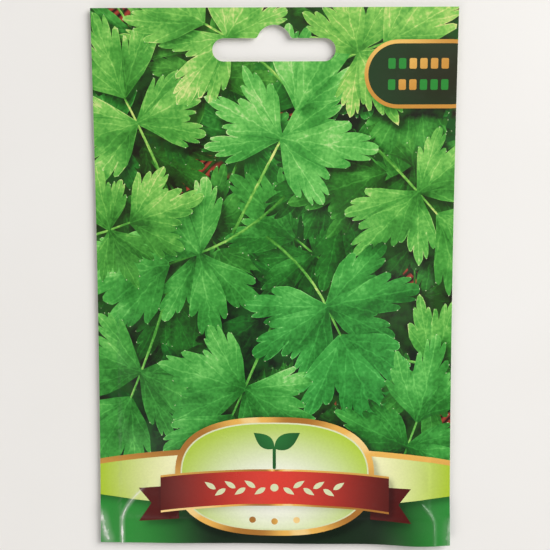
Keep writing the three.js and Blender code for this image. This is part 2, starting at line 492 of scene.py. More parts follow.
def bare_paper():
    """The uncoated side and the cut edge: white paper with short fibres."""
    material, tree = new_material("bare_paper")
    fibres = noise(tree, PAPER_FIBRE, detail=4.0)
    surface(tree, {
        "Base Color": blend_colour(tree, fibres, PAPER_SHADE, PAPER_WHITE),
        "Roughness": fade(tree, fibres, *ALL_NOISE, *PAPER_ROUGHNESS),
        "Normal": bump(tree, fibres, PAPER_FIBRE_HEIGHT, strength=0.4),
    })
    return material


paper = bare_paper()

# The webs' meshes
# A web is one thin closed sheet. Its printed face is cut along the outline of every printed
# shape, so that each ink has a true edge, and its other face and its cut edge are bare paper.
WELD = 0.004            # points nearer than this become one
EVERY_TRIANGLE = 0      # what the cutting is asked to give back
GRID_STEP = 0.75        # of the grid of points that fills the printed face
INSIDE_STEP = 2.0       # and of the one that fills the inner face
NORMAL_STEP = 0.05      # over which a slope is measured
BAKE_GAP = 0.01         # this and the next four are shares of the square that is baked
BAKE_ASIDE = 0.68
BAKE_ABOVE = 0.47
BAKE_INNER_SIZE = 0.44
BAKE_BOX = 0.0125
BAKE_BOX_FILL = 0.75    # share of its box that a piece of the cut edge fills
BAKE_BOX_CORNERS = np.array([(0, 0), (1, 0), (1, 1), (0, 1)])
BAKE_COLUMNS = 24


def printed(outline, ink, depth=0.0, **more):
    """One printed shape. Depth is how near it looks in the picture, for the shade it throws."""
    return SimpleNamespace(outline=np.asarray(outline, float), ink=ink, depth=depth, **more)


def anticlockwise(outline):
    """The same outline, turned round if it runs clockwise."""
    x, y = outline.T
    area = (x * np.roll(y, -1) - y * np.roll(x, -1)).sum()
    return outline if area > 0 else outline[::-1]


def sheet_grid(step):
    """Points of a staggered grid over the sheet, clear of its edge."""
    points = []
    for row, y in enumerate(np.arange(step / 2 - HALF_HEIGHT, HALF_HEIGHT, step)):
        first = step * (0.5 + 0.5 * (row % 2)) - HALF_WIDTH
        points += [(x, y) for x in np.arange(first, HALF_WIDTH - step / 4, step)]
    return points


def planar_map(rings, lines, step):
    """Cuts the sheet along every ring and line. Returns its points, its triangles and, for each
    triangle, the rings that it lies in. The first ring is the sheet."""
    points = []
    faces = []
    edges = []
    for ring in rings:
        faces.append(list(range(len(points), len(points) + len(ring))))
        points += list(anticlockwise(ring))
    for way in lines:
        edges += [(k, k + 1) for k in range(len(points), len(points) + len(way) - 1)]
        points += list(way)
    points += sheet_grid(step)
    flat = [Vector(point) for point in points]
    found, _, triangles, _, _, owners = delaunay_2d_cdt(flat, edges, faces, EVERY_TRIANGLE, WELD, True)
    kept = [k for k, rings_here in enumerate(owners) if 0 in rings_here]
    return (
        np.array([tuple(point) for point in found]),
        np.array([triangles[k] for k in kept]),
        [owners[k] for k in kept],
    )


def drop_unused(points, triangles):
    """The points that the triangles use, and the triangles renumbered to them."""
    used, renumbered = np.unique(triangles, return_inverse=True)
    return points[used], renumbered.reshape(-1, 3)


def linked_object(name, mesh):
    """An object that shows a mesh in the scene."""
    made = bpy.data.objects.new(name, mesh)
    bpy.context.scene.collection.objects.link(made)
    return made


def store(mesh, name, values, domain="POINT"):
    """Keeps a number, or three, for each point or corner of a mesh."""
    kind, field = ("FLOAT_VECTOR", "vector") if values.ndim == 2 else ("FLOAT", "value")
    kept = mesh.attributes.new(name, kind, domain)
    kept.data.foreach_set(field, values.ravel().astype(np.float32))


def rim_edges(triangles):
    """The edges that only one triangle has, in that triangle's direction."""
    edges = np.concatenate([triangles[:, [0, 1]], triangles[:, [1, 2]], triangles[:, [2, 0]]])
    known = set(map(tuple, edges))
    return np.array([edge for edge in known if edge[::-1] not in known])


def face_normals(x, y, height):
    """Normals of a height function, so that the gloss runs smoothly over uneven triangles."""
    step = NORMAL_STEP
    slope_x = (height(x + step, y) - height(x - step, y)) / (2 * step)
    slope_y = (height(x, y + step) - height(x, y - step)) / (2 * step)
    normals = np.column_stack([-slope_x, -slope_y, np.ones_like(x)])
    return normals / np.linalg.norm(normals, axis=1, keepdims=True)


def enclosed(starts, ends, places):
    """Which of the places lie inside the rings that some straight pieces make, and not in a hole."""
    x, y = places.T
    found = np.zeros(len(places), bool)
    for (x0, y0), (x1, y1) in zip(starts, ends):
        if y0 != y1:
            found ^= ((y0 > y) != (y1 > y)) & (x < (x1 - x0) * (y - y0) / (y1 - y0) + x0)
    return found


def inner_sheet(points, rim):
    """The inner face of a web, in larger triangles than the printed face but with the same rim.
    Returns its points and triangles, and the number that each rim point has among its points."""
    border = np.unique(rim)
    order = {point: k for k, point in enumerate(border)}
    ways = [(order[a], order[b]) for a, b in rim]
    starts, ends = points[rim[:, 0]], points[rim[:, 1]]
    grid = np.array(sheet_grid(INSIDE_STEP))
    grid = grid[enclosed(starts, ends, grid)]
    flat = [Vector(place) for place in np.concatenate([points[border], grid])]
    found, _, triangles, sources, _, _ = delaunay_2d_cdt(flat, ways, [], EVERY_TRIANGLE, WELD / 4, True)
    found = np.array([tuple(place) for place in found])
    triangles = np.array(triangles)
    corners = found[triangles]
    area = np.linalg.det(corners[:, 1:] - corners[:, :1]) / 2
    triangles = triangles[enclosed(starts, ends, corners.mean(1)) & (area > WELD ** 2)]
    number = {source: k for k, merged in enumerate(sources) for source in merged}
    return found, triangles, {point: number[order[point]] for point in border}


def add_bake_map(mesh, flat, printed_count, inner_count):
    """A flat map of a web. The printed face fills the left of the square, the inner face lies beside
    it, and each piece of the cut edge has a small box of its own above the inner face."""
    loops = np.zeros(len(mesh.loops), np.int32)
    mesh.loops.foreach_get("vertex_index", loops)
    shares = (flat[loops] + (HALF_WIDTH, HALF_HEIGHT)) / (2 * HALF_HEIGHT)
    outer, inner, rim = np.split(shares, [3 * printed_count, 3 * (printed_count + inner_count)])
    outer[:] = BAKE_GAP + (1 - 2 * BAKE_GAP) * outer
    inner[:] = (BAKE_ASIDE, BAKE_GAP) + BAKE_INNER_SIZE * inner
    piece, corner = np.divmod(np.arange(len(rim)), len(BAKE_BOX_CORNERS))
    row, column = np.divmod(piece, BAKE_COLUMNS)
    box = np.column_stack([column, row]) + BAKE_BOX_FILL * BAKE_BOX_CORNERS[corner]
    rim[:] = (BAKE_ASIDE, BAKE_ABOVE) + BAKE_BOX * box
    layer = mesh.uv_layers.new(name="OFBake")
    layer.data.foreach_set("uv", shares.ravel().astype(np.float32))


def web_object(name, points, triangles, outer, inner, facing):
    """A web as a closed thin sheet. Its printed triangles come first, then the inner face, then
    the cut edge. Facing is 1 where the printed face looks up and -1 where it looks down."""
    rim = rim_edges(triangles)
    inner_points, inner_triangles, beside = inner_sheet(points, rim)
    first = len(points)
    flat = np.concatenate([points, inner_points])
    x, y = flat.T
    height = np.concatenate([outer(*points.T), inner(*inner_points.T)])
    places = np.column_stack([drawn_in(x, y), y, height]) * MM
    faces = [tuple(face) for face in triangles]
    faces += [tuple(face) for face in inner_triangles[:, ::-1] + first]
    faces += [(a, first + beside[a], first + beside[b], b) for a, b in rim]
    faces = [face[::facing] for face in faces]
    mesh = bpy.data.meshes.new(name)
    mesh.from_pydata(places.tolist(), [], faces)
    normals = np.concatenate([face_normals(*points.T, outer), -face_normals(*inner_points.T, inner)])
    corner_normals = (facing * normals)[np.concatenate(faces)]
    for quad in mesh.polygons[len(faces) - len(rim):]:
        corner_normals[list(quad.loop_indices)] = quad.normal
    mesh.normals_split_custom_set(corner_normals.tolist())
    # the white of the creases, which is cracked ink and a painted highlight of the fold
    for label, values in zip(("crack_distance", "crack_wear_and_highlight"), crease_wear_and_highlight(x, y)):
        store(mesh, label, values)
    add_bake_map(mesh, flat, len(triangles), len(inner_triangles))
    return linked_object(name, mesh)


def web_from_shapes(name, shapes, lines, outer, inner, facing):
    """A web printed with these shapes, later ones over earlier ones. Returns the object, its flat
    points, its printed triangles and the shape on top of each."""
    rings = [shape.outline for shape in shapes] + [slot_outline()]
    points, triangles, owners = planar_map(rings, lines, GRID_STEP)
    top = np.array([max(rings_here) for rings_here in owners])
    whole = top < len(shapes)
    points, triangles = drop_unused(points, triangles[whole])
    top = top[whole]
    made = web_object(name, points, triangles, outer, inner, facing)
    names = sorted({shape.ink for shape in shapes})
    made.data.materials.append(paper)
    for ink in names:
        made.data.materials.append(inks[ink])
    slots = np.zeros(len(made.data.polygons), np.int32)
    ink_slot = np.array([1 + names.index(shape.ink) for shape in shapes])
    slots[:len(top)] = ink_slot[top]
    made.data.polygons.foreach_set("material_index", slots)
    return made, points, triangles, top


# The back web
# The plain side of the packet: pale ink with a green foot, a ruled panel for notes and a row of
# month boxes, some of them filled. It is sealed to the front web and lies on the table.
BACK_FOOT_LINE = -58
BACK_GOLD_LINE = 1.4
NOTE_CENTRE = (0, 8)
NOTE_HALF = (38, 34)
NOTE_RADIUS = 5
NOTE_RIM = 0.8
NOTE_LINES = 8
NOTE_LINE_HALF = (32, 0.12)
NOTE_LINE_STEPS = 2
MONTHS = 12
MONTH_ROW = -40
MONTH_STEP = 6.5
MONTH_BOX_HALF = (2.7, 2.7)
MONTH_BOX_RADIUS = 0.7
MONTH_BOX_RIM = 0.3
BACK_SOWN = (2, 3, 4, 7, 8)
PAST_EDGE = 1.2         # how far a band runs, in half widths and half heights of the sheet
# The gold ink's painted sheen: bands of painted light and shade round a centre, and a painted glint.
GOLD_CENTRE = (0, -52)
GOLD_SHEEN_BANDS = 4.0
GOLD_DARK = (0.40, 0.165, 0.028, 1)
GOLD_MIDDLE = (0.82, 0.46, 0.10, 1)
GOLD_BRIGHT = (0.95, 0.74, 0.36, 1)
GOLD_TURN = (-1.0, 0.8)     # from dark to middle, on a band that runs from -1 to 1
GOLD_GLINT = (0.75, 1.0)    # from middle to the painted glint
GOLD_GLINT_COVER = 0.6


def add_gold_ink():
    """Adds ink printed to look like gold, with a painted sheen: bands of painted light and shade
    that run round a centre, and a painted glint where they are lightest.
    """
    inks["gold"], tree = new_material("gold_ink")
    x, y, _ = add_node(tree, "ShaderNodeSeparateXYZ", {0: object_place(tree)}).outputs
    across = maths(tree, "SUBTRACT", x, GOLD_CENTRE[0] * MM)
    up = maths(tree, "SUBTRACT", y, GOLD_CENTRE[1] * MM)
    sheen_bands = maths(tree, "SINE", maths(tree, "MULTIPLY", maths(tree, "ARCTAN2", up, across), GOLD_SHEEN_BANDS))
    gold = blend_colour(tree, fade(tree, sheen_bands, *GOLD_TURN), GOLD_DARK, GOLD_MIDDLE)
    glint = fade(tree, sheen_bands, *GOLD_GLINT, 0.0, GOLD_GLINT_COVER)
    coat_over(tree, blend_colour(tree, glint, gold, GOLD_BRIGHT))


add_gold_ink()
add_ink(
    "footer_green",
    middle=(0.009, 0.025, 0.010), rim=(0.026, 0.25, 0.036), centre=(5, -62), reach=(45, 60), core=0.48,
)
add_ink("pale", middle=(0.80, 0.82, 0.60), rim=(0.66, 0.72, 0.42), centre=(0, 0), reach=(60, 80))
add_ink(
    "note_cream",
    middle=(0.90, 0.90, 0.82), rim=(0.80, 0.83, 0.66), centre=NOTE_CENTRE, reach=(60, 52),
)
add_ink(
    "month_green",
    middle=(0.05, 0.30, 0.06), rim=(0.03, 0.22, 0.045), centre=(0, MONTH_ROW), reach=(40, 9),
)


def foot_strip(head):
    """A straight band over the foot of the web, up to its head."""
    wide = PAST_EDGE * HALF_WIDTH
    low = -PAST_EDGE * HALF_HEIGHT
    return polygon([(-wide, low), (wide, low), (wide, head), (-wide, head)], CUT_STEP)


def rounded_box(centre, half_size, radius, steps=6):
    """A rectangle with round corners. Its straight edges have points enough to follow the web."""
    x, y = centre
    wide, high = half_size[0] - radius, half_size[1] - radius
    corners = [(x + wide, y + high), (x - wide, y + high), (x - wide, y - high), (x + wide, y - high)]
    outline = []
    for number, corner in enumerate(corners):
        start = number * QUARTER_TURN
        outline += list(arc(corner, radius, start, (number + 1) * QUARTER_TURN, steps))
    return polygon(outline, CUT_STEP)


def inset_box(centre, half_size, radius, inset):
    """The same rounded box, smaller by an inset all round."""
    return rounded_box(centre, (half_size[0] - inset, half_size[1] - inset), radius - inset)


back_shapes = [
    printed(web_outline, "pale"),
    printed(foot_strip(BACK_FOOT_LINE), "gold"),
    printed(foot_strip(BACK_FOOT_LINE - BACK_GOLD_LINE), "footer_green"),
    printed(rounded_box(NOTE_CENTRE, NOTE_HALF, NOTE_RADIUS), "gold"),
    printed(inset_box(NOTE_CENTRE, NOTE_HALF, NOTE_RADIUS, NOTE_RIM), "note_cream"),
]
for ruled in range(NOTE_LINES):
    line_y = NOTE_CENTRE[1] + NOTE_HALF[1] * (2 * (ruled + 1) / (NOTE_LINES + 1) - 1)
    note_line = rounded_box((0, line_y), NOTE_LINE_HALF, NOTE_LINE_HALF[1], NOTE_LINE_STEPS)
    back_shapes.append(printed(note_line, "month_green"))
for month in range(MONTHS):
    box_centre = (MONTH_STEP * (month - (MONTHS - 1) / 2), MONTH_ROW)
    back_shapes.append(printed(rounded_box(box_centre, MONTH_BOX_HALF, MONTH_BOX_RADIUS), "month_green"))
    if month not in BACK_SOWN:
        field = inset_box(box_centre, MONTH_BOX_HALF, MONTH_BOX_RADIUS, MONTH_BOX_RIM)
        back_shapes.append(printed(field, "note_cream"))

back_panel, *_ = web_from_shapes("back_web", back_shapes, [], back_face, back_inside, -1)
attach(back_panel, "root")
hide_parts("back_panel")

# The seeds
# Small seeds lie loose in a shallow heap low in the pouch, where filling has left them. Each has
# a dry brown husk, bowed a little, with five paler ribs from point to point. Nothing fixes them.
SEED_LENGTH = 2.7
SEED_RADIUS = 0.56
SEED_RIBS = 5
RIB_RISE = 0.15         # as a share of the radius
SEED_FULLNESS = 0.7     # power of the swell along the seed: under 1 rounds it
SEED_BOW = 0.2
SEED_TILT = 0.06        # most that a seed tips out of level, in radians
SEED_RINGS = 8
SEED_SIDES = 4 * SEED_RIBS
SEED_COUNT = 150
SEED_TURNS_TRIED = 12
HEAP_LAYER = 0.66       # from the middle of the heap to the middle of each of its two layers
HEAP_RANDOM_SEED = 7331
GOLDEN_ANGLE = math.pi * (3 - math.sqrt(5))
HUSK_FURROW = (0.10, 0.062, 0.032, 1)
HUSK_STREAKED = (0.21, 0.145, 0.078, 1)
HUSK_RIB = (0.44, 0.35, 0.21, 1)
HUSK_STAINED = (0.15, 0.12, 0.06, 1)
HUSK_STREAK = 0.4
HUSK_STREAK_HEIGHT = 0.04
HUSK_ROUGHNESS = (0.7, 0.9)
HUSK_RIB_SPAN = (0.35, 1.0)
HUSK_STAIN = 3.0
HUSK_STAIN_SPAN = (0.5, 0.7)
HUSK_STAIN_COVER = 0.5
heap_draw = random.Random(HEAP_RANDOM_SEED)


def direction(angle):
    """The unit vectors along and across an angle."""
    along = np.array([math.cos(angle), math.sin(angle)])
    return along, np.array([-along[1], along[0]])


def seed_points():
    """The points of one seed along X, ring by ring with a point at each end, and how high each
    stands on a rib, from 0 to 1."""
    share = np.linspace(0, 1, SEED_RINGS + 2)[1:-1, None]
    around = np.arange(SEED_SIDES) / SEED_SIDES * math.tau
    rib = 0.5 + 0.5 * np.cos(SEED_RIBS * around)
    radius = SEED_RADIUS * np.sin(math.pi * share) ** SEED_FULLNESS * (1 + RIB_RISE * rib)
    along = (share - 0.5) * SEED_LENGTH + 0 * around
    bow = SEED_BOW * (2 * share - 1) ** 2
    rings = np.stack([along, radius * np.cos(around), radius * np.sin(around) + bow], axis=2)
    ends = [(-SEED_LENGTH / 2, 0, SEED_BOW), (SEED_LENGTH / 2, 0, SEED_BOW)]
    return np.concatenate([rings.reshape(-1, 3), ends]), np.append(np.tile(rib, SEED_RINGS), (0, 0))


def seed_faces():
    """The faces of one seed: four-sided between rings, three-sided at the ends."""
    beside = [(k, (k + 1) % SEED_SIDES) for k in range(SEED_SIDES)]
    last = (SEED_RINGS - 1) * SEED_SIDES
    tail = SEED_RINGS * SEED_SIDES
    faces = []
    for ring in range(0, last, SEED_SIDES):
        faces += [(ring + a, ring + b, ring + SEED_SIDES + b, ring + SEED_SIDES + a) for a, b in beside]
    faces += [(tail, b, a) for a, b in beside]
    faces += [(tail + 1, last + a, last + b) for a, b in beside]
    return faces


def clear_turn(place, placed):
    """Of a few turns drawn for a seed, the one that keeps it farthest from the seeds beside it."""
    best = (-1.0, 0.0)
    for turn in [heap_draw.uniform(0, math.tau) for _ in range(SEED_TURNS_TRIED)]:
        reach = SEED_LENGTH / 2 * direction(turn)[0]
        x, y = np.array([place - reach, place, place + reach]).T
        gap = nearest_on_lines(x, y, *np.array(placed).swapaxes(0, 1))[0].min() if placed else 0.0
        best = max(best, (gap, turn))
    return best[1]


def seed_heap():
    """The heap: two layers of seeds, spread on a sunflower spiral so that they cover it evenly."""
    low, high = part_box("seeds")
    middle = np.array((low + high) / 2) / MM
    half = np.array((high - low) / 2)[:2] / MM - SEED_LENGTH / 2
    shape, rib = seed_points()
    places = []
    faces = []
    layers = ([], [])
    for number in range(SEED_COUNT):
        out = math.sqrt((number // 2 + 0.5) / (SEED_COUNT // 2))
        layer = number % 2
        spoke, _ = direction(number * GOLDEN_ANGLE)
        place = middle[:2] + out * half * spoke
        turn = clear_turn(place, layers[layer])
        reach = SEED_LENGTH / 2 * direction(turn)[0]
        layers[layer].append((place - reach, place + reach))
        tilt = heap_draw.uniform(-SEED_TILT, SEED_TILT)
        pose = Euler((heap_draw.uniform(0, math.tau), tilt, turn)).to_matrix()
        height = middle[2] + HEAP_LAYER * (2 * layer - 1)
        places.append(shape @ np.array(pose).T + (*place, height))
        faces += [tuple(len(shape) * number + corner for corner in face) for face in seed_faces()]
    mesh = bpy.data.meshes.new("seed_heap")
    mesh.from_pydata((np.concatenate(places) * MM).tolist(), [], faces)
    mesh.polygons.foreach_set("use_smooth", np.ones(len(faces), bool))
    store(mesh, "rib", np.tile(rib, SEED_COUNT))
    return linked_object("seed_heap", mesh)


def seed_husk():
    """A dry husk: brown in its furrows, paler on its ribs, with fine streaks and a few stains."""
    material, tree = new_material("seed_husk")
    streaks = noise(tree, HUSK_STREAK, detail=4.0)
    furrow = blend_colour(tree, streaks, HUSK_FURROW, HUSK_STREAKED)
    ribbed = blend_colour(tree, fade(tree, attribute(tree, "rib"), *HUSK_RIB_SPAN), furrow, HUSK_RIB)
    stains = fade(tree, noise(tree, HUSK_STAIN), *HUSK_STAIN_SPAN, 0.0, HUSK_STAIN_COVER)
    surface(tree, {
        "Base Color": blend_colour(tree, stains, ribbed, HUSK_STAINED),
        "Roughness": fade(tree, streaks, *ALL_NOISE, *HUSK_ROUGHNESS),
        "Normal": bump(tree, streaks, HUSK_STREAK_HEIGHT, strength=0.6),
    })
    return material


seeds = seed_heap()
seeds.data.materials.append(seed_husk())
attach(seeds, "root")
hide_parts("seeds")

# The leaves in the picture
# The front is printed with a picture of close herb leaves, seen from above. A leaf is three blades
# on a stalk, a blade is a fan of lobes, and a lobe ends in fingers with pale points. The leaves
# lie over each other in three layers, above dark ground.
LAYER_LIGHT = (0.20, 0.41, 0.73)
LAYER_DEPTH = (3.0, 6.5, 10.0)
LEAF_DEPTH_SPREAD = 1.2
LEAF_LIGHT_SPREAD = 0.09
LEAF_WARMTH = (-0.19, 0.23)
LEAF_RIM = (0.2, 1.0)       # how pale the margins of a leaf are
LOW_LEAF_RIM = 0.15         # in the lowest layer
LEAF_RANDOM_SEED = 20
LOBE_MARGIN = [  # one margin as curves from point to notch to point: shares of length and half width
    [(0.00, 0.10), (0.22, 0.40), (0.40, 1.04), (0.68, 1.02)],
    [(0.68, 1.02), (0.75, 0.86), (0.66, 0.58), (0.53, 0.42)],
    [(0.53, 0.42), (0.64, 0.62), (0.78, 0.68), (0.86, 0.56)],
    [(0.86, 0.56), (0.89, 0.44), (0.84, 0.34), (0.76, 0.25)],
    [(0.76, 0.25), (0.86, 0.42), (0.97, 0.26), (1.00, 0.00)],
]
LOBE_CURVE_STEPS = 4
FINGER_POINTS = (LOBE_CURVE_STEPS, 3 * LOBE_CURVE_STEPS)  # their numbers among a margin's points
FINGER_STRETCH = 0.05
FINGER_STRETCH_RATE = 4
FINGER_SPREAD = 0.14
FINGER_SPREAD_RATE = 5
LOBE_BEND = 0.3
LOBE_LIGHT_SPREAD = 0.04
LOBE_CURL = (-0.06, 0.26)   # how much lighter a lobe is at its point than at its root
LOBE_SWING = 5              # in degrees
LOBE_GROWTH = (0.92, 1.08)
LOBE_DEPTH = 0.9
BLADE_LOBES = [(38, 0.86, 0.21), (0, 1.0, 0.22)]  # turn, length and half width
BLADE_BREADTH = (0.8, 1.12)  # blades seen more or less from the side
BLADE_LIGHT_SPREAD = 0.06
BLADE_SWING = 9
BLADE_DEPTH = 0.9
LEAF_BLADES = [(82, 0.86, 0.0), (-82, 0.86, 0.0), (0, 1.0, 0.3)]  # turn, size, way up the stalk
STALK_WIDTH = 0.85
STALK_THIN = 0.35           # half its width where the blades meet, as a share of the full width
STALK_SWELL = 0.15          # and what the far end adds to that
STALK_LENGTH = (0.6, 1.0)   # as a share of the middle blade
STALK_REACH = 0.34
STALK_BEND = 0.3
STALK_STEPS = 8
STALK_WARMTH = 0.35
STALK_LIGHT = 0.02
STALK_CURL = -0.5
NO_POINTS = np.array([(999.0, 999.0)])  # a place far off the sheet
draw = random.Random(LEAF_RANDOM_SEED)


def either_way(most):
    """A random amount up to the most, one way or the other."""
    return draw.uniform(-most, most)


def any_angle():
    """A random angle."""
    return draw.uniform(0, math.tau)


def lobe_margin():
    """One margin of a lobe, from its root to just short of its point, each a little different."""
    along, across = np.concatenate([curve(piece, LOBE_CURVE_STEPS) for piece in LOBE_MARGIN]).T
    phase = any_angle()
    stretch = 1 + FINGER_STRETCH * (np.sin(phase + FINGER_STRETCH_RATE * across) - math.sin(phase))
    spread = 1 + FINGER_SPREAD * np.sin(any_angle() + FINGER_SPREAD_RATE * along)
    return np.column_stack([along * stretch, across * spread])


def add_lobe(shapes, blade, root, angle, length, half, look):
    """Adds one lobe, bent a little to one side."""
    along, across = direction(angle)
    right = lobe_margin() * (length, -half)
    left = lobe_margin() * (length, half)
    local = np.concatenate([right, [(length, 0)], left[::-1]])
    bend = either_way(LOBE_BEND) * half / length
    sag = bend * local[:, 0] ** 2 / length
    outline = root + local[:, :1] * along + (local[:, 1:] + sag[:, None]) * across
    last = len(right)
    points = [last] + [k for n in FINGER_POINTS for k in (n, 2 * last - n)]
    shapes.append(printed(
        outline, "leaf", look.depth, blade=blade, root=root, along=along, across=across, bend=bend,
        length=length, half=half, points=outline[points], warmth=look.warmth,
        light=look.light + either_way(LOBE_LIGHT_SPREAD), rim=look.rim * draw.uniform(0, 1),
        curl=draw.uniform(*LOBE_CURL), ruffle=any_angle(),
    ))


def add_blade(shapes, root, angle, size, depth, look):
    """Adds one blade: its outer lobes first, and each nearer lobe over them."""
    blade = len(shapes)
    breadth = draw.uniform(*BLADE_BREADTH)
    lift = either_way(BLADE_LIGHT_SPREAD)
    for rank, (turn, length, half) in enumerate(BLADE_LOBES):
        lobe_look = SimpleNamespace(**vars(look))
        lobe_look.depth += depth + LOBE_DEPTH * rank
        lobe_look.light += lift
        for hand in (-1, 1) if turn else (1,):
            swing = math.radians(breadth * hand * turn + either_way(LOBE_SWING))
            grown = size * draw.uniform(*LOBE_GROWTH)
            add_lobe(shapes, blade, root, angle + swing, grown * length, grown * breadth * half, lobe_look)


def add_stalk(shapes, root, angle, length, reach, look):
    """Adds a thin curved stalk that runs back from where the side blades meet, and on for its reach
    to the middle blade."""
    along, across = direction(angle + math.pi)
    bend = either_way(STALK_BEND)
    share = np.linspace(-reach / length, 1, STALK_STEPS + 1)[:, None]
    middle = root + length * (share * along + bend * np.maximum(share, 0) ** 2 * across)
    half = STALK_WIDTH * (STALK_THIN + STALK_SWELL * share) * across
    shapes.append(printed(
        np.concatenate([middle - half, (middle + half)[::-1]]), "leaf", look.depth,
        blade=("stalk", len(shapes)), root=root, along=along, across=across, bend=bend, length=length,
        half=STALK_WIDTH / 2, points=NO_POINTS, warmth=STALK_WARMTH, light=look.light + STALK_LIGHT,
        rim=0.0, curl=STALK_CURL, ruffle=0.0,
    ))


def leaf_look(layer):
    """The light and colour of one leaf."""
    return SimpleNamespace(
        depth=LAYER_DEPTH[layer] + draw.uniform(0, LEAF_DEPTH_SPREAD),
        light=LAYER_LIGHT[layer] + either_way(LEAF_LIGHT_SPREAD),
        warmth=draw.uniform(*LEAF_WARMTH),
        rim=draw.uniform(*LEAF_RIM) if layer else LOW_LEAF_RIM,
    )


def add_layer(shapes, leaves, layer):
    """Adds a layer of leaves, with their stalks below their blades. A leaf is the place where its
    blades meet, its direction and the size of its middle blade."""
    looks = [leaf_look(layer) for _ in leaves]
    for (place, angle, size), look in zip(leaves, looks):
        length = size * draw.uniform(*STALK_LENGTH)
        add_stalk(shapes, np.array(place), angle, length, STALK_REACH * size, look)
    for (place, angle, size), look in zip(leaves, looks):
        along, _ = direction(angle)
        for rank, (turn, share, way) in enumerate(LEAF_BLADES):
            swing = angle + math.radians(turn + either_way(BLADE_SWING))
            root = np.array(place) + way * size * along
            add_blade(shapes, root, swing, size * share, BLADE_DEPTH * rank, look)


PICTURE_FOOT = -46.0
LOW_LEAVES = (4, 6)         # columns and rows of the lowest layer
MIDDLE_LEAVES = (4, 5)
SCATTERED_SIZE = 26
SCATTERED_GROWTH = (0.85, 1.15)
SCATTERED_SHIFT = 0.35      # how far a leaf strays in its cell, as a share of the cell
TOP_LEAVES = [  # place, direction in degrees, size of the middle blade
    ((-36, 42), 116, 25),
    ((2, 38), 62, 28),
    ((38, 24), -48, 26),
    ((-20, 8), 200, 29),
    ((14, -6), -64, 29),
    ((-36, -24), -112, 26),
    ((42, -22), -10, 25),
    ((-12, 64), 150, 24),
    ((-8, -28), 246, 27),
    ((22, 60), 20, 24),
    ((36, -44), 70, 24),
    ((-44, 14), 20, 20),
]


def scattered_leaves(columns, rows):
    """Leaves spread over the picture, each somewhere in its own cell and turned at random."""
    leaves = []
    for column in range(columns):
        for row in range(rows):
            across = (column + 0.5 + either_way(SCATTERED_SHIFT)) / columns
            up = (row + 0.5 + either_way(SCATTERED_SHIFT)) / rows
            place = (HALF_WIDTH * (2 * across - 1), PICTURE_FOOT + (HALF_HEIGHT - PICTURE_FOOT) * up)
            leaves.append((place, any_angle(), SCATTERED_SIZE * draw.uniform(*SCATTERED_GROWTH)))
    return leaves


leaf_shapes = []
add_layer(leaf_shapes, scattered_leaves(*LOW_LEAVES), 0)
add_layer(leaf_shapes, scattered_leaves(*MIDDLE_LEAVES), 1)
add_layer(leaf_shapes, [(place, math.radians(turn), size) for place, turn, size in TOP_LEAVES], 2)

EARTH_BROWN = (0.020, 0.013, 0.008, 1)
EARTH_GREEN = (0.013, 0.085, 0.014, 1)
EARTH_PATCH = 4
EARTH_PATCH_SPAN = (0.34, 0.58)
CANE_DARK = (0.012, 0.006, 0.005, 1)
CANE_RED = (0.34, 0.052, 0.030, 1)
CANE_STRAND = 1.8
CANE_TURN = 0.9             # in radians
CANE_PATCH = 30
CANE_PATCH_SPAN = (0.47, 0.53)
WAVE_LENGTH = math.tau / 20  # of a wave texture whose scale is 1


def ground_ink():
    """The dark ground behind the leaves: brown earth, dark green growth and strands of red cane."""
    material, tree = new_material("ground_ink")
    turned = add_node(tree, "ShaderNodeMapping", {
        "Vector": object_place(tree),
        "Rotation": (0, 0, CANE_TURN),
    })
    strands = add_node(tree, "ShaderNodeTexWave", {
        "Vector": turned.outputs["Vector"],
        "Scale": WAVE_LENGTH / (CANE_STRAND * MM),
        "Distortion": 5.0,
        "Detail": 2.0,
        "Detail Scale": 0.6,
    })
    cane = blend_colour(tree, strands.outputs["Fac"], CANE_DARK, CANE_RED)
    grown = fade(tree, noise(tree, EARTH_PATCH, detail=3.0), *EARTH_PATCH_SPAN)
    earth = blend_colour(tree, grown, EARTH_BROWN, EARTH_GREEN)
    shown = fade(tree, noise(tree, CANE_PATCH, detail=0.0), *CANE_PATCH_SPAN)
    coat_over(tree, blend_colour(tree, shown, earth, cane))
    return material


LEAF_GREENS = [  # from deep shade to full light
    (0.00, (0.007, 0.013, 0.006)),
    (0.22, (0.011, 0.060, 0.010)),
    (0.45, (0.018, 0.165, 0.019)),
    (0.66, (0.052, 0.345, 0.052)),
    (0.84, (0.150, 0.57, 0.120)),
    (1.00, (0.42, 0.75, 0.31)),
]
FINGER_VEINS = [(0.14, 0.50, 0.8), (0.46, 0.36, 0.6)]  # start along the lobe, slope, strength
VEIN = (0.002, 0.012)       # where a vein starts to fade and where it ends, as shares of the length
VEIN_BEND = 2.5
VEIN_WANDER = 0.012
VEIN_LIGHT = 0.11           # this and the other lights are added to the leaf's own
QUILT_CELL = 1.9
QUILT_EDGE = 0.4            # as a share of the cell
QUILT_LIGHT = (-0.035, 0.025)
BLOTCH = 7
BLOTCH_LIGHT = 0.09
GRAIN = 0.8
GRAIN_LIGHT = 0.05
RIM_FADE = (0.05, 0.27)
RIM_PATCH = 6
RIM_PATCH_SPAN = (0.4, 0.62)
RIM_LIGHT = 0.38
SHADE_LIGHT = -0.68
DEEP_PATCH = 5              # patches of light that are left in the deepest shade
DEEP_PATCH_SPAN = (0.36, 0.62)
DEEP_LIGHT = 0.24
WARM_TINT = (0.9, 0.0, -0.25)  # what full warmth adds to red, green and blue, as shares of them
POINT_FADE = (0.10, 0.34)
POINT_COVER = 0.9
POINT_LIT = (0.1, 0.55)     # the light from which points show, and where they show fully
POINT_PALE = (0.72, 0.78, 0.50, 1)


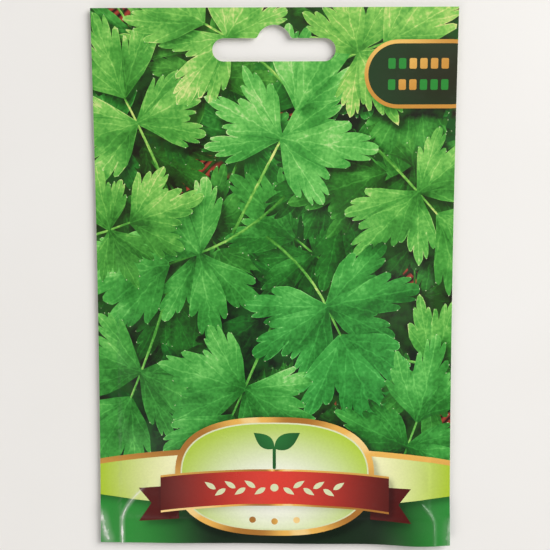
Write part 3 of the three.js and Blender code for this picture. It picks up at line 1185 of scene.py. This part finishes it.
def green_ramp(tree, light):
    """Leaf green for an amount of light."""
    ramp = add_node(tree, "ShaderNodeValToRGB", {"Fac": light})
    first, *between, last = LEAF_GREENS
    for element, (position, colour) in zip(ramp.color_ramp.elements, (first, last)):
        element.position = position
        element.color = (*colour, 1)
    for position, colour in between:
        ramp.color_ramp.elements.new(position).color = (*colour, 1)
    return ramp.outputs["Color"]


def leaf_veins(tree, along, across):
    """The midrib of a lobe, and the veins that leave it for the fingers."""
    wander = fade(tree, noise(tree, VEIN_BEND), *ALL_NOISE, -VEIN_WANDER, VEIN_WANDER)
    off_rib = maths(tree, "ABSOLUTE", maths(tree, "ADD", across, wander))
    veins = fade(tree, off_rib, *VEIN, 1.0, 0.0)
    for start, slope, strength in FINGER_VEINS:
        way = maths(tree, "MULTIPLY", maths(tree, "SUBTRACT", along, start), slope)
        off_vein = maths(tree, "ABSOLUTE", maths(tree, "SUBTRACT", off_rib, way))
        veins = maths(tree, "MAXIMUM", veins, fade(tree, off_vein, *VEIN, strength, 0.0))
    return veins


def leaf_ink():
    """Leaf green by how much light the leaf shows, with veins, quilting, pale rims and points."""
    material, tree = new_material("leaf_ink")
    place = attribute(tree, "leaf_place", "Vector")
    tone = attribute(tree, "leaf_tone", "Vector")
    along, across, edge = add_node(tree, "ShaderNodeSeparateXYZ", {0: place}).outputs
    light, warmth, rim = add_node(tree, "ShaderNodeSeparateXYZ", {0: tone}).outputs
    cell_inputs = {"Vector": object_place(tree), "Scale": 1 / (QUILT_CELL * MM)}
    cells = add_node(tree, "ShaderNodeTexVoronoi", cell_inputs, feature="DISTANCE_TO_EDGE")
    patchy = maths(tree, "MULTIPLY", rim, fade(tree, noise(tree, RIM_PATCH), *RIM_PATCH_SPAN))
    pale = maths(tree, "MULTIPLY", fade(tree, edge, *RIM_FADE, 1.0, 0.0), patchy)
    lights = [
        maths(tree, "MULTIPLY", leaf_veins(tree, along, across), VEIN_LIGHT),
        fade(tree, cells.outputs["Distance"], 0.0, QUILT_EDGE, *QUILT_LIGHT),
        fade(tree, noise(tree, BLOTCH, detail=3.0), *MOST_NOISE, -BLOTCH_LIGHT, BLOTCH_LIGHT),
        fade(tree, noise(tree, GRAIN, detail=3.0), *MOST_NOISE, -GRAIN_LIGHT, GRAIN_LIGHT),
        maths(tree, "MULTIPLY", pale, RIM_LIGHT),
        maths(tree, "MULTIPLY", attribute(tree, "picture_shade"), SHADE_LIGHT),
    ]
    for part in lights:
        light = maths(tree, "ADD", light, part)
    least = fade(tree, noise(tree, DEEP_PATCH, detail=3.0), *DEEP_PATCH_SPAN, 0.0, DEEP_LIGHT)
    light = maths(tree, "MAXIMUM", light, least)
    tints = [fade(tree, warmth, -1.0, 1.0, 1 - tint, 1 + tint) for tint in WARM_TINT]
    green = tinted(tree, green_ramp(tree, light), *tints)
    dot = fade(tree, attribute(tree, "point_distance"), *POINT_FADE, POINT_COVER, 0.0)
    dot = maths(tree, "MULTIPLY", dot, fade(tree, light, *POINT_LIT))
    coat_over(tree, blend_colour(tree, dot, green, POINT_PALE))
    return material


inks["ground"] = ground_ink()
inks["leaf"] = leaf_ink()

# The foot of the picture
# Below the leaves the print ends in three plain bands that lie over each other: a gold line, a
# lime band and a dark green ground. Their upper edges are curved.
FOOT_LINE = -44.0
FOOT_LINE_DROP = 4.0    # of the gold line and the lime band, towards the sides
GOLD_LINE = 1.5
GREEN_LINE = -61.5
GREEN_LINE_RISE = 3.5
FOOT_FLOOR = -1.3 * HALF_HEIGHT  # below the sheet's edge
FOOT_STEPS = 40
FOOT_DEPTH = 14.0
GREEN_DEPTH = 11.0
add_ink(
    "lime",
    middle=(0.97, 0.93, 0.60), rim=(0.38, 0.545, 0.008), centre=(0, -52), reach=(51, 40), core=0.4,
)


def foot_band(middle, bend):
    """All that lies below a curve that is bent upwards or downwards towards the sides."""
    x = np.linspace(-PAST_EDGE * HALF_WIDTH, PAST_EDGE * HALF_WIDTH, FOOT_STEPS + 1)
    head = np.column_stack([x, middle + bend * (x / HALF_WIDTH) ** 2])
    return np.concatenate([[(x[0], FOOT_FLOOR), (x[-1], FOOT_FLOOR)], head[::-1]])


foot_shapes = [
    printed(foot_band(FOOT_LINE, -FOOT_LINE_DROP), "gold", FOOT_DEPTH),
    printed(foot_band(FOOT_LINE - GOLD_LINE, -FOOT_LINE_DROP), "lime", FOOT_DEPTH),
    printed(foot_band(GREEN_LINE, GREEN_LINE_RISE), "footer_green", GREEN_DEPTH),
]

# The label
# An oval label with a gold rim is printed over the foot of the picture. It has a red ribbon
# across it with folded ends, a row of pale leaves on the ribbon and a green sprout above it.
LABEL_CENTRE = (0, -52.5)
LABEL_HALF = (27, 16.8)
LABEL_POWER = 2.5
LABEL_STEPS = 72
LABEL_DEPTH = 18.6
FIELD_DEPTH = 17.6
MOTIF_DEPTH = 17.9
RIBBON_DEPTH = 19.4
LABEL_RIMS = [  # ink, inset and depth
    ("gold", 0.0, LABEL_DEPTH),
    ("pale", 1.5, LABEL_DEPTH),
    ("cream", 1.9, FIELD_DEPTH),
]
RIBBON_HALF_LENGTH = 31
RIBBON_HALF_HEIGHT = 4.7
RIBBON_EDGE = 0.55      # width of its gold edge
RIBBON_SAG = 2.2
RIBBON_MIDDLE = -55.5
TAIL_TUCK = 5           # how far a tail starts inside the ribbon's end
TAIL_LENGTH = 6         # and how far it runs past that end
TAIL_NOTCH = 2.6        # where its notch is, past that end
TAIL_DROP = 2.2
TAIL_LEAN = 0.8
LEAF_FULLNESS = 0.8     # power that moves the widest part of a plain leaf: under 1 is nearer the root
SPROUT_FOOT = (0, -49.6)
SPROUT_STEM = 5.2
SPROUT_STEM_HALF_WIDTH = 0.45
SPROUT_STEM_RADIUS = 0.4
SPROUT_STEM_STEPS = 3
SPROUT_STEM_PAST = 0.6  # how far the stem runs past both of its ends
SPROUT_LEAF = 8.2
SPROUT_LEAF_WIDTH = 0.52  # as a share of its length
SPROUT_LEAF_STEPS = 12
SPROUT_LEAVES = [(1, 32, 1.0), (-1, 38, 0.86)]  # hand, turn up from level, share of the full size
RIBBON_LEAVES = 6
RIBBON_LEAF = 3.6
RIBBON_LEAF_WIDTH = 0.4
RIBBON_LEAF_FIRST = 0.9  # how far out the first one is, in steps
RIBBON_LEAF_STEP = 2.7
RIBBON_LEAF_TURN = 34
RIBBON_DOT = 1.1
DOT_STEPS = 20
SPOT_PLACES = (-6, 0, 6)
SPOT_ROW = -65.3
SPOT_BOW = 0.012
SPOT_RADIUS = 0.9
add_ink("cream", middle=(0.98, 0.97, 0.91), rim=(0.43, 0.60, 0.035), centre=(0, -57), reach=(31, 23))
add_ink("red", middle=(0.72, 0.052, 0.034), rim=(0.085, 0.009, 0.007), centre=(0, -54), reach=(34, 60))
add_ink("fold_red", middle=(0.12, 0.008, 0.007), rim=(0.08, 0.006, 0.005), centre=(0, -54), reach=(40, 40))
add_ink("sprig", middle=(0.02, 0.17, 0.035), rim=(0.012, 0.10, 0.02), centre=(0, -41), reach=(8, 7))


def oval(centre, half, power, steps):
    """An oval between an ellipse and a rounded box."""
    angle = np.arange(steps) / steps * math.tau
    x = np.sign(np.cos(angle)) * np.abs(np.cos(angle)) ** (2 / power)
    y = np.sign(np.sin(angle)) * np.abs(np.sin(angle)) ** (2 / power)
    return np.column_stack([centre[0] + half[0] * x, centre[1] + half[1] * y])


def dot_outline(centre, radius):
    """A round dot."""
    return oval(centre, (radius, radius), 2, DOT_STEPS)


def ribbon_middle(x):
    """Height of the ribbon's middle line, which sags towards its ends."""
    return RIBBON_MIDDLE - RIBBON_SAG * (x / RIBBON_HALF_LENGTH) ** 2


def ribbon(half_height):
    """The ribbon, without its tails."""
    x = np.linspace(-RIBBON_HALF_LENGTH, RIBBON_HALF_LENGTH, FOOT_STEPS + 1)
    low = np.column_stack([x, ribbon_middle(x) - half_height])
    high = np.column_stack([x, ribbon_middle(x) + half_height])
    return np.concatenate([low, high[::-1]])


def ribbon_tail(hand):
    """The folded end of the ribbon, with a notched tip."""
    inner = hand * (RIBBON_HALF_LENGTH - TAIL_TUCK)
    outer = hand * (RIBBON_HALF_LENGTH + TAIL_LENGTH)
    notch = hand * (RIBBON_HALF_LENGTH + TAIL_NOTCH)
    foot = RIBBON_MIDDLE - RIBBON_SAG - RIBBON_HALF_HEIGHT - TAIL_DROP
    head = foot + 2 * RIBBON_HALF_HEIGHT
    return polygon([
        (inner, foot),
        (outer, foot - TAIL_LEAN),
        (notch, (foot + head) / 2 - TAIL_LEAN / 2),
        (outer, head - TAIL_LEAN),
        (inner, head),
    ], CUT_STEP)


def simple_leaf(root, hand, turn, length, width, steps=8):
    """A plain pointed leaf to the right or the left, turned up from level by some degrees."""
    share = np.linspace(0, 1, steps + 1)
    half = width / 2 * np.sin(math.pi * share ** LEAF_FULLNESS)
    right = np.column_stack([share * length, -half])
    left = np.column_stack([share * length, half])
    local = np.concatenate([right, left[-2:0:-1]])
    along, across = direction(math.radians(90 - hand * (90 - turn)))
    return np.array(root) + local[:, :1] * along + local[:, 1:] * across


label_shapes = [printed(ribbon_tail(hand), "fold_red", FOOT_DEPTH) for hand in (-1, 1)]
for ink, inset, depth in LABEL_RIMS:
    half = (LABEL_HALF[0] - inset, LABEL_HALF[1] - inset)
    label_shapes.append(printed(oval(LABEL_CENTRE, half, LABEL_POWER, LABEL_STEPS), ink, depth))
label_shapes.append(printed(ribbon(RIBBON_HALF_HEIGHT + RIBBON_EDGE), "gold", RIBBON_DEPTH))
label_shapes.append(printed(ribbon(RIBBON_HALF_HEIGHT), "red", RIBBON_DEPTH))

stem_centre = (SPROUT_FOOT[0], SPROUT_FOOT[1] + SPROUT_STEM / 2)
stem_half = (SPROUT_STEM_HALF_WIDTH, SPROUT_STEM / 2 + SPROUT_STEM_PAST)
stem = rounded_box(stem_centre, stem_half, SPROUT_STEM_RADIUS, SPROUT_STEM_STEPS)
label_shapes.append(printed(stem, "sprig", MOTIF_DEPTH))
for hand, turn, share in SPROUT_LEAVES:
    root = (SPROUT_FOOT[0], SPROUT_FOOT[1] + SPROUT_STEM)
    length = share * SPROUT_LEAF
    leaf = simple_leaf(root, hand, turn, length, length * SPROUT_LEAF_WIDTH, SPROUT_LEAF_STEPS)
    label_shapes.append(printed(leaf, "sprig", MOTIF_DEPTH))
for hand in (-1, 1):
    for number in range(RIBBON_LEAVES):
        root_x = hand * RIBBON_LEAF_STEP * (number + RIBBON_LEAF_FIRST)
        turn = RIBBON_LEAF_TURN if number % 2 else -RIBBON_LEAF_TURN
        width = RIBBON_LEAF_WIDTH * RIBBON_LEAF
        leaf = simple_leaf((root_x, ribbon_middle(root_x)), hand, turn, RIBBON_LEAF, width)
        label_shapes.append(printed(leaf, "pale", RIBBON_DEPTH))
label_shapes.append(printed(dot_outline((0, RIBBON_MIDDLE), RIBBON_DOT), "pale", RIBBON_DEPTH))
for spot in SPOT_PLACES:
    spot_centre = (spot, SPOT_ROW + SPOT_BOW * spot ** 2)
    label_shapes.append(printed(dot_outline(spot_centre, SPOT_RADIUS), "gold", MOTIF_DEPTH))

# The month tab
# A dark tab with a gold rim is printed at the right edge, near the header. It holds two rows of
# month boxes, some of them filled in gold.
TAB_LEFT = 23.5
TAB_MIDDLE = 54.5
TAB_HALF_HEIGHT = 8.8
TAB_RIM = 1.0
TAB_PAST_EDGE = 7.5     # how far the tab runs past the sheet's edge
TAB_STEPS = 12
TAB_DEPTH = 15.0
TAB_ROWS = 2
TAB_COLUMNS = 6
TAB_FIRST_BOX = (30.6, 57.2)
TAB_BOX_STEP = (2.75, 5.4)
TAB_BOX_HALF = (0.95, 1.35)
TAB_BOX_RADIUS = 0.4
TAB_BOX_STEPS = 4
TAB_SOWN = (2, 3, 4, 5, 7, 8)
add_ink("tab_gold", middle=(0.84, 0.52, 0.13), rim=(0.58, 0.27, 0.045), centre=(30, 62), reach=(18, 14))
add_ink(
    "tab_green",
    middle=(0.022, 0.024, 0.010), rim=(0.016, 0.046, 0.014), centre=(46, 54), reach=(24, 18),
)


def tab_outline(inset):
    """The tab with its round left end, smaller by an inset."""
    right = HALF_WIDTH + TAB_PAST_EDGE
    centre = ((TAB_LEFT + right) / 2, TAB_MIDDLE)
    half = ((right - TAB_LEFT) / 2 - inset, TAB_HALF_HEIGHT - inset)
    return rounded_box(centre, half, TAB_HALF_HEIGHT - inset, TAB_STEPS)


tab_shapes = [
    printed(tab_outline(0), "tab_gold", TAB_DEPTH),
    printed(tab_outline(TAB_RIM), "tab_green", TAB_DEPTH),
]
for month in range(TAB_ROWS * TAB_COLUMNS):
    row, column = divmod(month, TAB_COLUMNS)
    box_centre = (TAB_FIRST_BOX[0] + TAB_BOX_STEP[0] * column, TAB_FIRST_BOX[1] - TAB_BOX_STEP[1] * row)
    box = rounded_box(box_centre, TAB_BOX_HALF, TAB_BOX_RADIUS, TAB_BOX_STEPS)
    tab_shapes.append(printed(box, "tab_gold" if month in TAB_SOWN else "footer_green", TAB_DEPTH))

# The front web
# The printed front is sealed to the back round its edge and domed over the seeds. The shade
# that nearer shapes of the picture throw on farther ones is part of the print. The leaves also
# have a painted sheen that lightens them towards the header, and painted shade towards the foot.
SHADE_STEP = 0.3        # between cells of the field that the shade is worked out on
SHADE_BLURS = [(3, 2.2), (10, 5.0)]  # cells on each side, and the depth that shades fully
SHADE_SHIFT = (-0.8, 1.2)
LAST_CELL = 1.001       # keeps places at the far edge just inside the last cell
PICTURE_LIGHT = np.array([-0.45, 0.89])
LOBE_FOLD = 0.075       # how much lighter the side of a lobe that faces the light is
LOBE_FOLD_WIDTH = 0.25  # as a share of its half width
LOBE_RUFFLE = 0.06
LOBE_RUFFLE_RATE = 9
LOBE_CURL_MIDDLE = 0.45
LOBE_ROOT = 0.35
LOBE_ROOT_SHADE = 0.1
PAINTED_HEADER_SHEEN = 0.28     # painted sheen: how much lighter the picture is painted at the header, most of all in its depths
HEADER_NO_GAIN = 1.6    # the light of a leaf that would get no more there
HEADER_WARMTH = 0.32
HEADER_FULL = 50        # y where both are full
FULL_LIGHT = 0.78       # above this, light counts for less, so that bright leaves keep their veins
FULL_LIGHT_SHARE = 0.45
# painted shade that darkens every leaf alike; with the painted sheen the picture runs dark at its foot and
# light at the header
PAINTED_FOOT_SHADE = 0.175
CREASE_LINES = (-1.6, -0.7, 0, 0.7, 1.6)  # in widths of a crease, from its middle


def box_blur(field, reach):
    """The mean over a square of cells, edges repeated."""
    for axis in (0, 1):
        pad = [(reach + 1, reach) if a == axis else (0, 0) for a in (0, 1)]
        total = np.cumsum(np.pad(field, pad, mode="edge"), axis=axis)
        upper = np.take(total, np.arange(2 * reach + 1, total.shape[axis]), axis=axis)
        lower = np.take(total, np.arange(total.shape[axis] - 2 * reach - 1), axis=axis)
        field = (upper - lower) / (2 * reach + 1)
    return field


def depth_field(shapes):
    """How near the picture looks over a grid of cells, later shapes over earlier ones."""
    x = np.arange(-HALF_WIDTH, HALF_WIDTH + SHADE_STEP, SHADE_STEP)
    y = np.arange(-HALF_HEIGHT, HALF_HEIGHT + SHADE_STEP, SHADE_STEP)
    field = np.zeros((len(y), len(x)))
    for shape in shapes:
        low = shape.outline.min(0)
        high = shape.outline.max(0)
        here_x = np.nonzero((x >= low[0]) & (x <= high[0]))[0]
        here_y = np.nonzero((y >= low[1]) & (y <= high[1]))[0]
        if len(here_x) and len(here_y):
            cell_x, cell_y = np.meshgrid(x[here_x], y[here_y])
            cells = np.column_stack([cell_x.ravel(), cell_y.ravel()])
            covered = enclosed(shape.outline, np.roll(shape.outline, -1, axis=0), cells)
            part = field[here_y[0]:here_y[-1] + 1, here_x[0]:here_x[-1] + 1]
            part[covered.reshape(part.shape)] = shape.depth
    return field


def look_up(field, x, y):
    """The field's value at points, between the cells."""
    column = np.clip((x + HALF_WIDTH) / SHADE_STEP, 0, field.shape[1] - LAST_CELL)
    row = np.clip((y + HALF_HEIGHT) / SHADE_STEP, 0, field.shape[0] - LAST_CELL)
    c = column.astype(int)
    r = row.astype(int)
    right = column - c
    up = row - r
    low = field[r, c] * (1 - right) + field[r, c + 1] * right
    high = field[r + 1, c] * (1 - right) + field[r + 1, c + 1] * right
    return low * (1 - up) + high * up


def thrown_shade(blurred, depth, x, y):
    """How much shade nearer shapes throw on points at a depth, from 0 to 1."""
    shade = np.zeros(len(x))
    for field, (_, full) in zip(blurred, SHADE_BLURS):
        over = look_up(field, x + SHADE_SHIFT[0], y + SHADE_SHIFT[1]) - depth
        shade += np.clip(over / full, 0, 1) / len(SHADE_BLURS)
    return shade


def open_margin(shape, siblings):
    """The straight pieces of a lobe's outline that no other lobe of its blade covers."""
    ends = np.roll(shape.outline, -1, axis=0)
    middles = (shape.outline + ends) / 2
    covered = np.zeros(len(middles), bool)
    for other in siblings:
        if other is not shape:
            covered |= enclosed(other.outline, np.roll(other.outline, -1, axis=0), middles)
    return shape.outline[~covered], ends[~covered]


def leaf_values(shape, siblings, x, y):
    """For points on a lobe: their place along and across it as shares of its length with their
    distance from its margin, then their light, warmth and rim, then how far its points are."""
    offset = np.column_stack([x, y]) - shape.root
    along = offset @ shape.along
    across = offset @ shape.across - shape.bend * along ** 2 / shape.length
    starts, ends = open_margin(shape, siblings)
    edge = nearest_on_lines(x, y, starts, ends)[0] if len(starts) else np.full(len(x), OUT_OF_REACH)
    up = along / shape.length
    fold = np.tanh(across / (LOBE_FOLD_WIDTH * shape.half)) * (shape.across @ PICTURE_LIGHT)
    ruffle = np.sin(shape.ruffle + LOBE_RUFFLE_RATE * up) * (across / shape.half) ** 2
    light = shape.light + LOBE_FOLD * fold + LOBE_RUFFLE * ruffle
    light += shape.curl * (np.clip(up, 0, 1) - LOBE_CURL_MIDDLE)
    light -= LOBE_ROOT_SHADE * (1 - ease(up, 0, LOBE_ROOT))
    # painted sheen and painted shade: the leaves are painted lighter towards the header and darker towards
    # the foot
    rise = ease(y, PICTURE_FOOT, HEADER_FULL)
    light += PAINTED_HEADER_SHEEN * (HEADER_NO_GAIN - shape.light) * rise - PAINTED_FOOT_SHADE
    light -= (1 - FULL_LIGHT_SHARE) * np.maximum(light - FULL_LIGHT, 0)
    warmth = shape.warmth + HEADER_WARMTH * rise
    place = np.column_stack([up, across / shape.length, edge])
    tone = np.column_stack([light, warmth, np.full(len(x), shape.rim)])
    to_points = np.column_stack([x, y])[:, None] - shape.points
    return place, tone, np.linalg.norm(to_points, axis=2).min(1)


def crease_lines():
    """Lines along and beside each crease, so that its ridge has enough points."""
    lines = []
    for crease in CREASES:
        run = np.gradient(crease.path, axis=0)
        aside = np.column_stack([-run[:, 1], run[:, 0]]) / np.linalg.norm(run, axis=1, keepdims=True)
        lines += [crease.path + shift * CREASE_WIDTH * aside for shift in CREASE_LINES]
    return lines


def add_picture_values(mesh, shapes, points, triangles, top):
    """Gives each corner of the printed face its place, tone and shade in the picture."""
    depth = depth_field(shapes)
    blurred = [box_blur(box_blur(depth, reach), reach) for reach, _ in SHADE_BLURS]
    blades = {}
    for shape in shapes:
        if shape.ink == "leaf":
            blades.setdefault(shape.blade, []).append(shape)
    leaf_place = np.zeros((len(mesh.loops), 3))
    leaf_tone = np.zeros((len(mesh.loops), 3))
    point_distance = np.zeros(len(mesh.loops))
    picture_shade = np.zeros(len(mesh.loops))
    corner_numbers = np.arange(triangles.size).reshape(-1, 3)
    for number in np.unique(top):
        shape = shapes[number]
        corners = corner_numbers[top == number].ravel()
        used, which = np.unique(triangles[top == number], return_inverse=True)
        which = which.ravel()
        x, y = points[used].T
        picture_shade[corners] = thrown_shade(blurred, shape.depth, x, y)[which]
        if shape.ink == "leaf":
            place, tone, to_points = leaf_values(shape, blades[shape.blade], x, y)
            leaf_place[corners] = place[which]
            leaf_tone[corners] = tone[which]
            point_distance[corners] = to_points[which]
    store(mesh, "leaf_place", leaf_place, "CORNER")
    store(mesh, "leaf_tone", leaf_tone, "CORNER")
    store(mesh, "picture_shade", picture_shade, "CORNER")
    store(mesh, "point_distance", point_distance, "CORNER")


front_shapes = [printed(web_outline, "ground")]
front_shapes += leaf_shapes + foot_shapes + label_shapes + tab_shapes
front_panel, *front_map = web_from_shapes(
    "front_web", front_shapes, crease_lines(), front_face, front_inside, 1
)
add_picture_values(front_panel.data, front_shapes, *front_map)
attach(front_panel, "root")
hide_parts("front_panel")

# The table
# A plain pale table top that the packet lies on, wider than the view. It is painted, and the
# paint is very slightly uneven. Its half size is in metres.
TABLE_HALF = 0.6
TABLE_DROP = 0.02       # keeps it just clear of the back web
TABLE_CORNERS = [(-1, -1), (1, -1), (1, 1), (-1, 1)]
TABLE_PATCH = 40
TABLE_DARKER = (0.80, 0.785, 0.76, 1)
TABLE_PALER = (0.84, 0.83, 0.815, 1)
table_mesh = bpy.data.meshes.new("table")
table_points = [(x * TABLE_HALF, y * TABLE_HALF, -TABLE_DROP * MM) for x, y in TABLE_CORNERS]
table_mesh.from_pydata(table_points, [], [(0, 1, 2, 3)])
table = linked_object("table", table_mesh)
table_paint, paint_tree = new_material("table_paint")
paint = blend_colour(paint_tree, noise(paint_tree, TABLE_PATCH), TABLE_DARKER, TABLE_PALER)
surface(paint_tree, {"Base Color": paint, "Roughness": 0.6})
table_mesh.materials.append(table_paint)

# The light
# A wide soft light stands high to the right of the header. A weaker one fills the shade from the
# lower left, a faint one over the header shines off the coat, and a grey room gives the rest.
ROOM_WALL = (0.60, 0.605, 0.62, 1)
ROOM_CEILING = (0.06, 0.06, 0.063, 1)
ROOM_TURN = (0.4, 0.95)  # how far up the wall turns into the ceiling


def soft_light(name, place, aim, size, power, colour):
    """A round lamp at a place, turned to its aim. Metres and watts."""
    data = bpy.data.lights.new(name, "AREA")
    data.shape = "DISK"
    data.size = size
    data.energy = power
    data.color = colour
    made = linked_object(name, data)
    made.location = place
    made.rotation_euler = (Vector(aim) - Vector(place)).to_track_quat("-Z", "Y").to_euler()


soft_light("key", (0.8, 0.58, 0.8), (0, 0, 0), size=1.0, power=17.0, colour=(1.0, 0.985, 0.96))
soft_light("fill", (-0.6, -0.7, 0.7), (0, 0, 0), size=0.7, power=3.7, colour=(1.0, 0.95, 0.87))
soft_light(
    "over_header",
    (0.05, 0.42, 1.0), (0, 0.05, 0), size=0.35, power=0.08, colour=(1.0, 0.99, 0.97),
)
world = bpy.data.worlds.new("room")
world.use_nodes = True
room_tree = world.node_tree
towards = add_node(room_tree, "ShaderNodeTexCoord").outputs["Generated"]
height = add_node(room_tree, "ShaderNodeSeparateXYZ", {0: towards}).outputs["Z"]
room = blend_colour(room_tree, fade(room_tree, height, *ROOM_TURN), ROOM_WALL, ROOM_CEILING)
room_tree.links.new(room, room_tree.nodes["Background"].inputs["Color"])
room_tree.nodes["Background"].inputs["Strength"].default_value = 1.0
bpy.context.scene.world = world
bpy.context.scene.view_settings.view_transform = "Standard"

# The camera
# It looks almost straight down on the packet, from over the header. Its angles and its distance
# put the packet's four corners where the photograph has them.
PITCH = math.radians(6.96)
YAW = math.radians(-1.41)
ROLL = math.radians(-0.10)
CAMERA_OFFSET = Vector((-0.20, -2.10, -300.49))  # of the packet's middle, as the camera sees it
FOCAL_PIXELS = 1134
IMAGE_PIXELS = 550
SENSOR = 36             # in millimetres
NEAREST_SEEN = 0.01     # in metres
turned = Matrix.Rotation(ROLL, 4, "Z") @ Matrix.Rotation(YAW, 4, "Y") @ Matrix.Rotation(PITCH, 4, "X")
seen = Matrix.Translation(CAMERA_OFFSET * MM) @ turned @ Matrix.Translation((0, 0, -SEAL_HEIGHT * MM))
camera_data = bpy.data.cameras.new("camera")
camera_data.sensor_width = SENSOR
camera_data.lens = SENSOR * FOCAL_PIXELS / IMAGE_PIXELS
camera_data.clip_start = NEAREST_SEEN
camera = linked_object("camera", camera_data)
camera.matrix_world = seen.inverted()
bpy.context.scene.camera = camera
